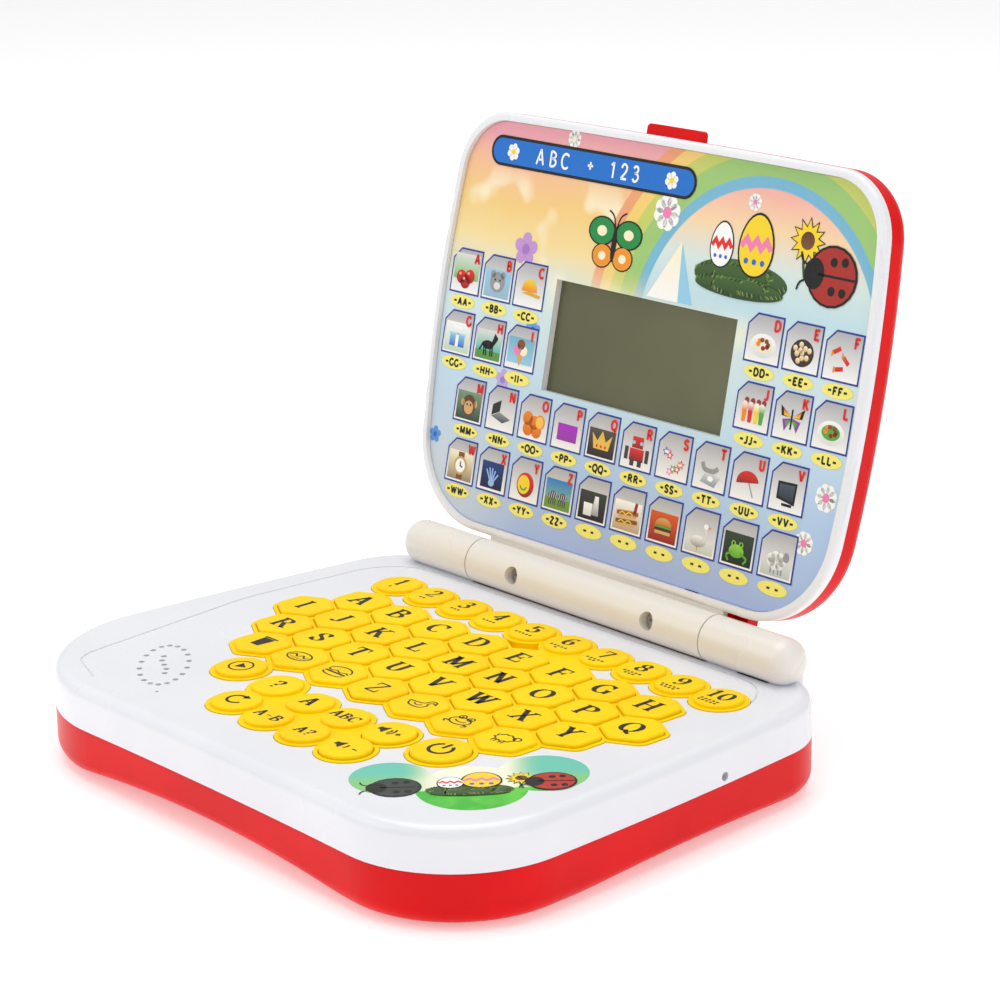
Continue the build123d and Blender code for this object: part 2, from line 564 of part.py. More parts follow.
def lid_nodes():
    """Every node that turns with the lid."""
    label = prism(lid_plan(2.8), LABEL_Z - 0.5, LABEL_Z)
    label -= Pos(0, LCD_Y, 0) * Box(LCD_WIDTH, LCD_HEIGHT, 40)
    y0, y1 = LCD_Y - LCD_HEIGHT / 2, LCD_Y + LCD_HEIGHT / 2
    glass = box(-LCD_WIDTH / 2 - 3, LCD_WIDTH / 2 + 3, y0 - 3, y1 + 3, PANEL_BACK_Z - 2.0, PANEL_BACK_Z)
    strip = box(-LCD_WIDTH / 2, LCD_WIDTH / 2, y0 - 2.6, y0 + 0.2, PANEL_BACK_Z - 2.8, PANEL_BACK_Z - 2.0)
    board = box(-44, 44, y0 - 8, y1 + 4, PANEL_BACK_Z - 4.0, PANEL_BACK_Z - 2.8)
    board += rod(12, LCD_Y, PANEL_BACK_Z - 4.9, PANEL_BACK_Z - 4.0, 5.0)
    cable = wire([(50, 0, 0), (37, 0, 0), (37, 0, CABLE_Z), (37, 48, CABLE_Z)], [2.6, 2.6], CABLE_R)
    return {
        "lid_front_bezel": make_bezel(),
        "lid_rear_cover": make_rear_cover(),
        "lid_label": label,
        "lcd_panel": glass,
        "lcd_rubber_connector": strip,
        "lcd_board": board,
        "display_cable_lid": cable,
        "lid_screws": group([screw(x, y, LID_BACK_Z + 0.3, PANEL_BACK_Z - 0.2, 2.5, 1.1) for x, y in LID_SCREWS]),
        "barrel_screws": group([screw(x, 0, 3.8, -9.0, 2.6, SCREW_R)
                                for x in (-BARREL_SCREW_X, BARREL_SCREW_X)]),
    }


# ---------------------------------------------------------------- assembly
def main():
    """Builds every node, turns the lid to its resting angle and writes one file per node."""
    os.makedirs("parts", exist_ok=True)
    lid_place = Pos(0, HINGE_Y, HINGE_Z) * Rot(180 - OPEN_ANGLE, 0, 0)
    nodes = base_nodes()
    for name, shape in lid_nodes().items():
        nodes[name] = lid_place * shape
    boxes = [shape.bounding_box() for shape in nodes.values()]
    middle_y = (min(b.min.Y for b in boxes) + max(b.max.Y for b in boxes)) / 2
    print("moved forward by", round(middle_y, 4))
    print("hinge at", round(HINGE_Y - middle_y, 4), HINGE_Z)
    for name, shape in nodes.items():
        export_step(Pos(0, -middle_y, 0) * shape, f"parts/{name}.step")


main()
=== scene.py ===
"""Looks of a toy laptop computer: plastics, rubber keys with their legends, printed lid sheet and decal.

Printed artwork is drawn in millimetres on the plane it lies on: the lid lying flat, the key tops or
the deck. Every ink lies a few hundredths of a millimetre above the last.
"""
import json
import math

import bmesh
import bpy
from mathutils import Matrix, Vector


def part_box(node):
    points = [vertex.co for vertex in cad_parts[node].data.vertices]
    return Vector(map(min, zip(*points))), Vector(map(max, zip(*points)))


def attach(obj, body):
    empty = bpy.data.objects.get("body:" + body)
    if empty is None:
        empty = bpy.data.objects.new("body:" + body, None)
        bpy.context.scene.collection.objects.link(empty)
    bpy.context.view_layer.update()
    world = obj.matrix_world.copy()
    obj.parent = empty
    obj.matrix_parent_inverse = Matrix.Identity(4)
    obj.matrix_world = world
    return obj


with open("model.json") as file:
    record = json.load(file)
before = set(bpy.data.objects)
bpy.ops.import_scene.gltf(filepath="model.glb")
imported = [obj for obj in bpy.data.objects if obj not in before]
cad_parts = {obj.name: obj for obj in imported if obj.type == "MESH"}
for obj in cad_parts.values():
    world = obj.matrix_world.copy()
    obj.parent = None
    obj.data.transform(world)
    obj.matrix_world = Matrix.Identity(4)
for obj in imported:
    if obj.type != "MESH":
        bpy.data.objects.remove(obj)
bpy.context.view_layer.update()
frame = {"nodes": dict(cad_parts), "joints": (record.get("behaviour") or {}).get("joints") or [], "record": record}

MM = 0.001
LAYER = 0.025               # height of one ink above the last
NODES = frame["nodes"]

# ---- places
HINGE = Vector(next(j["pos_m"] for j in frame["joints"] if j["name"] == "lid_hinge"))
LID_TILT = math.radians(77.8)
LABEL_DEPTH = 2.8           # face of the printed sheet behind the hinge axis
SHEET_TOP = 140.0           # its top, up the lid from the hinge axis
RAINBOW_AT = (45.0, 82.5)   # middle of the rainbow's rings, across and up the lid
RAINBOW_INNER = 47.0
RAINBOW_WIDTH = 22.5
KEY_LOW, KEY_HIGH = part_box("key_m")
KEYPAD = (KEY_LOW + KEY_HIGH) / 2
KEY_TOPS = Matrix.Translation((KEYPAD.x, KEYPAD.y, KEY_HIGH.z))
DECAL_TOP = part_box("corner_decal")[1].z
DECAL_AT = Vector((0.0768, -0.0614, DECAL_TOP))     # middle of its middle disc
DECAL_TURN = math.radians(50)                       # its artwork runs along the deck's corner
DECAL = Matrix.Translation(DECAL_AT) @ Matrix.Rotation(DECAL_TURN, 4, "Z")
LABEL_FACE = Matrix.Translation((0, 0, -LABEL_DEPTH * MM))
FLAT_LID = Matrix.Translation(HINGE) @ Matrix.Rotation(LID_TILT, 4, "X") @ LABEL_FACE


def srgb(r, g, b):
    """A colour as seen on screen, from 0 to 255, as the linear one that shaders take."""
    seen = [c / 255 for c in (r, g, b)]
    return tuple(c / 12.92 if c <= 0.04045 else ((c + 0.055) / 1.055) ** 2.4 for c in seen) + (1.0,)


WHITE = srgb(250, 250, 248)
BLACK = srgb(18, 18, 20)
RED = srgb(226, 44, 38)
DARK_RED = srgb(150, 32, 30)
YELLOW = srgb(248, 214, 40)
ORANGE = srgb(240, 140, 40)
GREEN = srgb(80, 170, 60)
DARK_GREEN = srgb(40, 90, 40)
BLUE = srgb(40, 110, 205)
DARK_BLUE = srgb(44, 58, 150)
SKY = srgb(150, 205, 235)
PURPLE = srgb(150, 60, 170)
PINK = srgb(240, 130, 180)
BROWN = srgb(130, 80, 45)
TAN = srgb(214, 170, 110)
GREY = srgb(150, 152, 155)
PALE = srgb(222, 222, 220)
CREAM = srgb(250, 240, 205)
# Warm cream painted on the white hinge: a painted reflection of the yellow keys and label, not the plastic's own
# colour.
PAINTED_YELLOW_REFLECTION = srgb(237, 231, 222)


# ---- materials
class Value:
    """A number worked out by nodes; arithmetic on it adds Math nodes."""

    def __init__(self, build, socket):
        self.build = build
        self.socket = socket

    def math(self, operation, first, second=0.0):
        node = self.build.add("ShaderNodeMath", {"operation": operation}, {0: first, 1: second})
        return Value(self.build, node.outputs[0])

    def __add__(self, other):
        return self.math("ADD", self, other)

    def __sub__(self, other):
        return self.math("SUBTRACT", self, other)

    def __rsub__(self, other):
        return self.math("SUBTRACT", other, self)

    def __mul__(self, other):
        return self.math("MULTIPLY", self, other)

    def __truediv__(self, other):
        return self.math("DIVIDE", self, other)

    def __abs__(self):
        return self.math("ABSOLUTE", self)

    def root(self):
        return self.math("SQRT", self)

    def ramp(self, low, high):
        """0 below low, 1 above high and smooth between."""
        node = self.build.add("ShaderNodeMapRange", {"interpolation_type": "SMOOTHSTEP"},
                              {0: self, 1: low, 2: high})
        return Value(self.build, node.outputs[0])


class Build:
    """The nodes of one material."""

    def __init__(self, name, **settings):
        self.material = bpy.data.materials.new(name)
        self.material.use_nodes = True
        self.tree = self.material.node_tree
        self.shader = self.tree.nodes["Principled BSDF"]
        for socket, value in settings.items():
            self.shader.inputs[socket.replace("_", " ")].default_value = value

    def add(self, kind, settings=None, sockets=None):
        node = self.tree.nodes.new(kind)
        for name, value in (settings or {}).items():
            setattr(node, name, value)
        for name, value in (sockets or {}).items():
            self.plug(value, node.inputs[name])
        return node

    def plug(self, value, socket):
        value = getattr(value, "socket", value)
        if isinstance(value, bpy.types.NodeSocket):
            self.tree.links.new(value, socket)
        else:
            socket.default_value = value

    def place(self, location=(0, 0, 0), rotation=(0, 0, 0)):
        """Object coordinates in millimetres, about a location and unturned by a rotation."""
        coords = self.add("ShaderNodeTexCoord")
        mapping = self.add("ShaderNodeMapping", {"vector_type": "TEXTURE"},
                           {0: coords.outputs["Object"], 1: location, 2: rotation, 3: (MM, MM, MM)})
        return mapping.outputs[0]

    def split(self, vector):
        node = self.add("ShaderNodeSeparateXYZ", None, {0: vector})
        return [Value(self, out) for out in node.outputs]

    def noise(self, vector, scale, detail=3.0):
        node = self.add("ShaderNodeTexNoise", None, {"Vector": vector, "Scale": scale, "Detail": detail})
        return Value(self, node.outputs[0])

    def mix(self, factor, first, second):
        node = self.add("ShaderNodeMix", {"data_type": "RGBA"}, {0: factor, 6: first, 7: second})
        return node.outputs[2]

    def bands(self, value, stops, interpolation="LINEAR"):
        """A colour ramp from (position, colour) stops."""
        node = self.add("ShaderNodeValToRGB", None, {0: value})
        ramp = node.color_ramp
        ramp.interpolation = interpolation
        while len(ramp.elements) < len(stops):
            ramp.elements.new(1.0)
        for element, (position, color) in zip(ramp.elements, stops):
            element.position = position
            element.color = color
        return node.outputs[0]

    def set(self, name, value):
        self.plug(value, self.shader.inputs[name])

    def bump(self, height, strength, distance):
        node = self.add("ShaderNodeBump", None,
                        {"Strength": strength, "Distance": distance, "Height": height})
        self.set("Normal", node.outputs[0])


def moulded(name, color, second, roughness, coat=0.0, shine=0.4, grain=0.02, spread=0.06):
    """Moulded plastic or rubber: a little colour drift, uneven gloss and a fine surface ripple."""
    build = Build(name, Coat_Weight=coat, Coat_Roughness=0.08, Specular_IOR_Level=shine)
    where = build.place()
    drift = build.noise(where, 0.035, 2.0)
    build.set("Base Color", build.mix(drift.ramp(0.35, 0.7), color, second))
    fine = build.noise(where, 1.6, 2.0)
    build.set("Roughness", fine * spread + (roughness - spread / 2))
    build.bump(fine + drift * 4.0, 0.25, grain * MM)
    return build.material


def white_plastic(name, color, second, barrel):
    """Glossy white plastic, with a painted reflection of the yellow keys and label: a little warmer where barrel(x,
    y, z) reaches 1.
    """
    build = Build(name, Coat_Weight=0.2, Coat_Roughness=0.12, IOR=1.5)
    where = build.place()
    drift = build.noise(where, 0.03, 2.0)
    cool = build.mix(drift.ramp(0.3, 0.7), color, second)
    # Painted reflection: warm cream where barrel() reaches 1, standing in for the yellow keys and label reflected
    # in the hinge.
    build.set("Base Color", build.mix(barrel(*build.split(where)), cool, PAINTED_YELLOW_REFLECTION))
    build.set("Roughness", drift * 0.08 + 0.24)
    build.bump(drift, 0.1, 0.05 * MM)
    return build.material


def barrel_on_deck(x, y, z):
    """1 on the two barrel ends that stand on the deck, where a reflection of the yellow keys and label is painted.
    """
    return y.ramp(44, 47) * z.ramp(29, 31)


def barrel_on_lid(x, y, z):
    """1 on the middle of the barrel, below the lid's rim, where a reflection of the yellow keys and label is
    painted.
    """
    return 1 - z.ramp(42, 46)


def lid_sky():
    """Printed sky: blue below, cream clouds and orange above, pink on top, and one wide rainbow."""
    build = Build("lid_sky", Specular_IOR_Level=0.25)
    where = build.place(HINGE, (LID_TILT, 0, 0))
    across, up, _ = build.split(where)
    wander = (build.noise(where, 0.018, 2.0) - 0.5) * 26
    sky = build.bands((up + wander) / SHEET_TOP, [
        (0.07, srgb(166, 184, 226)), (0.24, srgb(176, 202, 236)), (0.42, srgb(196, 222, 238)),
        (0.60, srgb(214, 232, 232)), (0.70, srgb(246, 222, 160)), (0.79, srgb(244, 206, 128)),
        (0.88, srgb(244, 190, 150)), (0.96, srgb(236, 164, 176))])
    puffs = build.noise(where, 0.045, 1.5).ramp(0.50, 0.58) * up.ramp(78, 92) * (1 - up.ramp(112, 126))
    sky = build.mix(puffs * 0.85, sky, srgb(252, 244, 214))
    left_low = (1 - across.ramp(-80, -30)) * (1 - up.ramp(20, 60))
    sky = build.mix(left_low * 0.55, sky, srgb(226, 230, 216))
    dx = across - RAINBOW_AT[0]
    dy = up - RAINBOW_AT[1]
    radius = (dx * dx + dy * dy).root()
    glow = build.bands(up / SHEET_TOP, [
        (0.66, srgb(186, 222, 236)), (0.76, srgb(214, 230, 226)), (0.84, srgb(248, 214, 170)),
        (0.92, srgb(244, 178, 166))])
    inside = 1 - radius.ramp(RAINBOW_INNER, RAINBOW_INNER + 1)
    sky = build.mix(inside * up.ramp(84, 96), sky, glow)
    stripes = build.bands((radius - RAINBOW_INNER) / RAINBOW_WIDTH, [
        (0.0, srgb(104, 182, 214)), (0.15, srgb(150, 200, 112)), (0.42, srgb(196, 208, 98)),
        (0.62, srgb(244, 208, 112)), (0.81, srgb(238, 160, 112))], "CONSTANT")
    band = radius.ramp(46.8, 47.2) * (1 - radius.ramp(68.8, 69.4)) * up.ramp(84, 100)
    sky = build.mix(band * 0.95, sky, stripes)
    dots = build.noise(where, 2.4, 1.0)
    build.set("Base Color", build.mix(dots * 0.05, sky, WHITE))
    build.set("Roughness", dots * 0.08 + 0.28)
    build.bump(build.noise(where, 0.5, 2.0), 0.15, 0.02 * MM)
    return build.material


def decal_scene():
    """Printed meadow: green ground, pale middle and green-blue sky at both ends."""
    build = Build("decal_scene", Specular_IOR_Level=0.25)
    where = build.place(DECAL_AT, (0, 0, DECAL_TURN))
    across, up, _ = build.split(where)
    hills = build.noise(where, 0.12, 2.0)
    side = abs(across).ramp(8, 20)
    sky = build.mix(side, srgb(248, 246, 222), srgb(140, 204, 130))
    sky = build.mix(up.ramp(4, 12) * side, sky, srgb(110, 200, 180))
    grass = build.mix(hills.ramp(0.35, 0.65), srgb(70, 186, 62), srgb(104, 206, 74))
    ground = ((hills - 0.5) * 4 - up).ramp(0.6, 1.4)
    build.set("Base Color", build.mix(ground, sky, grass))
    build.set("Roughness", hills * 0.1 + 0.28)
    return build.material


def printed_ink():
    """Ink of every printed shape: its colour is stored on the faces, its gloss breaks up a little."""
    build = Build("printed_ink", Specular_IOR_Level=0.2)
    color = build.add("ShaderNodeVertexColor", {"layer_name": "ink"})
    speck = build.noise(build.place(), 3.0, 1.0)
    build.set("Base Color", build.mix(speck * 0.03, color.outputs[0], srgb(240, 238, 230)))
    build.set("Roughness", speck * 0.1 + 0.3)
    return build.material


def display():
    """Grey-green display behind clear film, slightly lighter towards one corner."""
    build = Build("display_glass", Coat_Weight=0.15, Coat_Roughness=0.1)
    where = build.place(HINGE, (LID_TILT, 0, 0))
    across, up, _ = build.split(where)
    cloud = build.noise(where, 0.03, 2.0)
    light = (across * 0.006 + up * 0.004 + cloud * 0.5).ramp(0.1, 1.1)
    build.set("Base Color", build.mix(light, srgb(84, 86, 56), srgb(106, 107, 76)))
    build.set("Roughness", cloud * 0.08 + 0.3)
    return build.material


def metal(name, color, roughness):
    """Plated steel with fine scratches."""
    build = Build(name, Metallic=1.0)
    where = build.place()
    scratches = build.noise(where, 3.0, 4.0)
    darker = tuple(c * 0.8 for c in color[:3]) + (1,)
    build.set("Base Color", build.mix(scratches.ramp(0.3, 0.7), color, darker))
    build.set("Roughness", scratches * 0.2 + roughness - 0.1)
    build.bump(scratches, 0.2, 0.01 * MM)
    return build.material


MATERIALS = {
    "base_top_shell": white_plastic("shell_white", srgb(235, 236, 241), srgb(231, 232, 238), barrel_on_deck),
    "lid_front_bezel": white_plastic("bezel_white", srgb(237, 237, 240), srgb(232, 233, 238), barrel_on_lid),
    "lid_label": lid_sky(),
    "corner_decal": decal_scene(),
    "lcd_panel": display(),
}
BY_SLOT = {
    "red_shell": moulded("shell_red", srgb(226, 2, 8), srgb(216, 1, 6), 0.32, shine=0.16, grain=0.005),
    "keypad_rubber": moulded("keypad_rubber", srgb(255, 216, 0), srgb(254, 208, 0), 0.5, shine=0.15,
                             grain=0.008, spread=0.1),
    "circuit_board": moulded("circuit_board", srgb(34, 110, 60), srgb(28, 96, 52), 0.4),
    "screw_steel": metal("screw_steel", srgb(196, 196, 200), 0.34),
    "speaker_frame": metal("speaker_frame", srgb(120, 120, 124), 0.4),
    "speaker_magnet": moulded("speaker_magnet", srgb(44, 44, 48), srgb(36, 36, 40), 0.55),
    "speaker_paper": moulded("speaker_paper", srgb(30, 30, 32), srgb(40, 38, 36), 0.8, grain=0.06),
    "wire_insulation": moulded("wire_insulation", srgb(46, 46, 50), srgb(60, 58, 60), 0.5),
    "black_plastic": moulded("black_plastic", srgb(24, 24, 26), srgb(30, 30, 32), 0.5),
    "bush_steel": metal("bush_steel", srgb(180, 180, 186), 0.3),
    "washer_nylon": moulded("washer_nylon", srgb(232, 230, 220), srgb(224, 222, 212), 0.45),
    "cell_jacket": moulded("cell_jacket", srgb(60, 70, 80), srgb(196, 150, 60), 0.35, coat=0.3),
    "contact_nickel": metal("contact_nickel", srgb(214, 210, 196), 0.26),
    "foot_rubber": moulded("foot_rubber", srgb(40, 40, 42), srgb(52, 52, 54), 0.75, grain=0.05),
    "connector_rubber": moulded("connector_rubber", srgb(206, 150, 160), srgb(196, 140, 150), 0.6),
}
SLOTS = {part["node"]: part["material_slot"] for part in frame["record"]["subparts"]}
for name, node in NODES.items():
    look = MATERIALS.get(name) or BY_SLOT[SLOTS[name]]
    for slot in node.material_slots:
        slot.material = look
INK = printed_ink()


# ---- drawing with flat inks
def arc(x, y, rx, ry, start, end, steps=16):
    """Points along part of an oval, angles in degrees."""
    angles = [math.radians(start + (end - start) * i / steps) for i in range(steps + 1)]
    return [(x + rx * math.cos(a), y + ry * math.sin(a)) for a in angles]


def smooth(points, steps=5):
    """A curve through the points."""
    ends = [points[0]] + list(points) + [points[-1]]
    path = []
    for a, b, c, d in zip(ends, ends[1:], ends[2:], ends[3:]):
        for i in range(steps):
            t = i / steps
            path.append(tuple(0.5 * (2 * q + (r - p) * t + (2 * p - 5 * q + 4 * r - s) * t * t
                                     + (3 * q - p - 3 * r + s) * t**3) for p, q, r, s in zip(a, b, c, d)))
    return path + [points[-1]]


def star(x, y, outer, inner, tips, turn=90):
    """Outline of a star or a flower with pointed petals."""
    points = []
    for i in range(2 * tips):
        angle = math.radians(turn + 180 * i / tips)
        radius = inner if i % 2 else outer
        points.append((x + radius * math.cos(angle), y + radius * math.sin(angle)))
    return points


def rectangle(x0, y0, x1, y1):
    return [(x0, y0), (x1, y0), (x1, y1), (x0, y1)]


class Print:
    """Flat shapes printed on one plane."""

    def __init__(self, plane):
        self.plane = plane
        self.mesh = bmesh.new()
        self.inks = self.mesh.loops.layers.float_color.new("ink")
        self.move_to()

    def move_to(self, x=0.0, y=0.0, size=1.0, layer=0):
        """Later shapes are drawn about this point, at this size and from this layer up."""
        self.here = Matrix.Translation((x, y, 0)) @ Matrix.Diagonal((size, size, 1, 1))
        self.layer = layer

    def fill(self, points, ink, layer=0, top_ink=None):
        """One filled shape, of one ink or fading from ink at its bottom to top_ink at its top."""
        height = (self.layer + layer + 1) * LAYER
        flat = [self.here @ Vector((x, y, 0)) for x, y in points]
        area = sum(a.x * b.y - b.x * a.y for a, b in zip(flat, flat[1:] + flat[:1]))
        if abs(area) < 1e-9:
            return
        order = flat if area > 0 else flat[::-1]
        lows = [y for _, y in points] if area > 0 else [y for _, y in points][::-1]
        verts = [self.mesh.verts.new(self.plane @ (Vector((p.x, p.y, height)) * MM)) for p in order]
        face = self.mesh.faces.new(verts)
        low, high = min(lows), max(lows)
        for loop, y in zip(face.loops, lows):
            share = (y - low) / (high - low) if top_ink else 0.0
            loop[self.inks] = [a + (b - a) * share for a, b in zip(ink, top_ink or ink)]

    def oval(self, x, y, rx, ry, ink, layer=0, steps=20, top_ink=None):
        self.fill(arc(x, y, rx, ry, 0, 360, steps)[:-1], ink, layer, top_ink)

    def line(self, points, width, ink, layer=0, thin=None, closed=False):
        """A pen line; with thin given, the pen is broad and its line is thin where it runs level."""
        points = list(points) + ([points[0]] if closed else [])
        points = [p for p, q in zip(points, points[1:]) if math.dist(p, q) > 1e-6] + [points[-1]]
        ways = [math.atan2(q[1] - p[1], q[0] - p[0]) for p, q in zip(points, points[1:])]
        edges = []
        for i, (x, y) in enumerate(points):
            before = ways[max(i - 1, 0)] if not closed or i else ways[-1]
            after = ways[min(i, len(ways) - 1)] if not closed or i < len(ways) else ways[0]
            turn = (after - before + math.pi) % (2 * math.pi) - math.pi
            way = before + turn / 2
            half = width / 2
            if thin is not None:
                half = (thin + (width - thin) * math.sin(way - 0.35) ** 2) / 2
            half /= max(math.cos(turn / 2), 0.5)
            edges.append(((x - half * math.sin(way), y + half * math.cos(way)),
                          (x + half * math.sin(way), y - half * math.cos(way))))
        for (a, b), (c, d) in zip(edges, edges[1:]):
            self.fill([a, c, d, b], ink, layer)

    def write(self, text, x, y, size, ink, layer=0, serif=False, weight=0.2, stretch=1.0, space=0.16):
        """Capitals and digits centred on x, standing on y."""
        advance = [GLYPHS[c][0] * stretch + space for c in text]
        left = x - (sum(advance) - space) * size / 2
        for letter, step in zip(text, advance):
            for points in GLYPHS[letter][1]:
                path = [(left + px * stretch * size, y + py * size) for px, py in points]
                self.line(path, weight * size, ink, layer, thin=weight * size * 0.28 if serif else None)
            for x0, y0, x1, y1 in GLYPHS[letter][2] if serif else []:
                bar = [(left + px * stretch * size, y + py * size) for px, py in rectangle(x0, y0, x1, y1)]
                self.fill(bar, ink, layer)
            left += step * size

    def piece(self, name, body):
        """Finishes the print as one piece that rides on a body."""
        data = bpy.data.meshes.new(name)
        self.mesh.to_mesh(data)
        self.mesh.free()
        data.materials.append(INK)
        made = bpy.data.objects.new(name, data)
        bpy.context.scene.collection.objects.link(made)
        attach(made, body)


# ---- the alphabet
STEM = [(0.16, 0), (0.16, 1)]


def bowl(low, high, right):
    """The round part of B, D, P or R, from the stem and back to it."""
    middle = (low + high) / 2
    ry = (high - low) / 2 - 0.03
    rx = min(0.34, right - 0.2)
    return [(0.16, low + 0.03)] + arc(right - rx, middle, rx, ry, -90, 90, 12) + [(0.16, high - 0.03)]


def foot(*places):
    return [(x - 0.17, 0, x + 0.17, 0.07) for x in places]


def head(*places):
    return [(x - 0.17, 0.93, x + 0.17, 1) for x in places]


def tick(x, low, high):
    return [(x - 0.03, low, x + 0.04, high)]


ENDS = foot(0.16) + head(0.16)
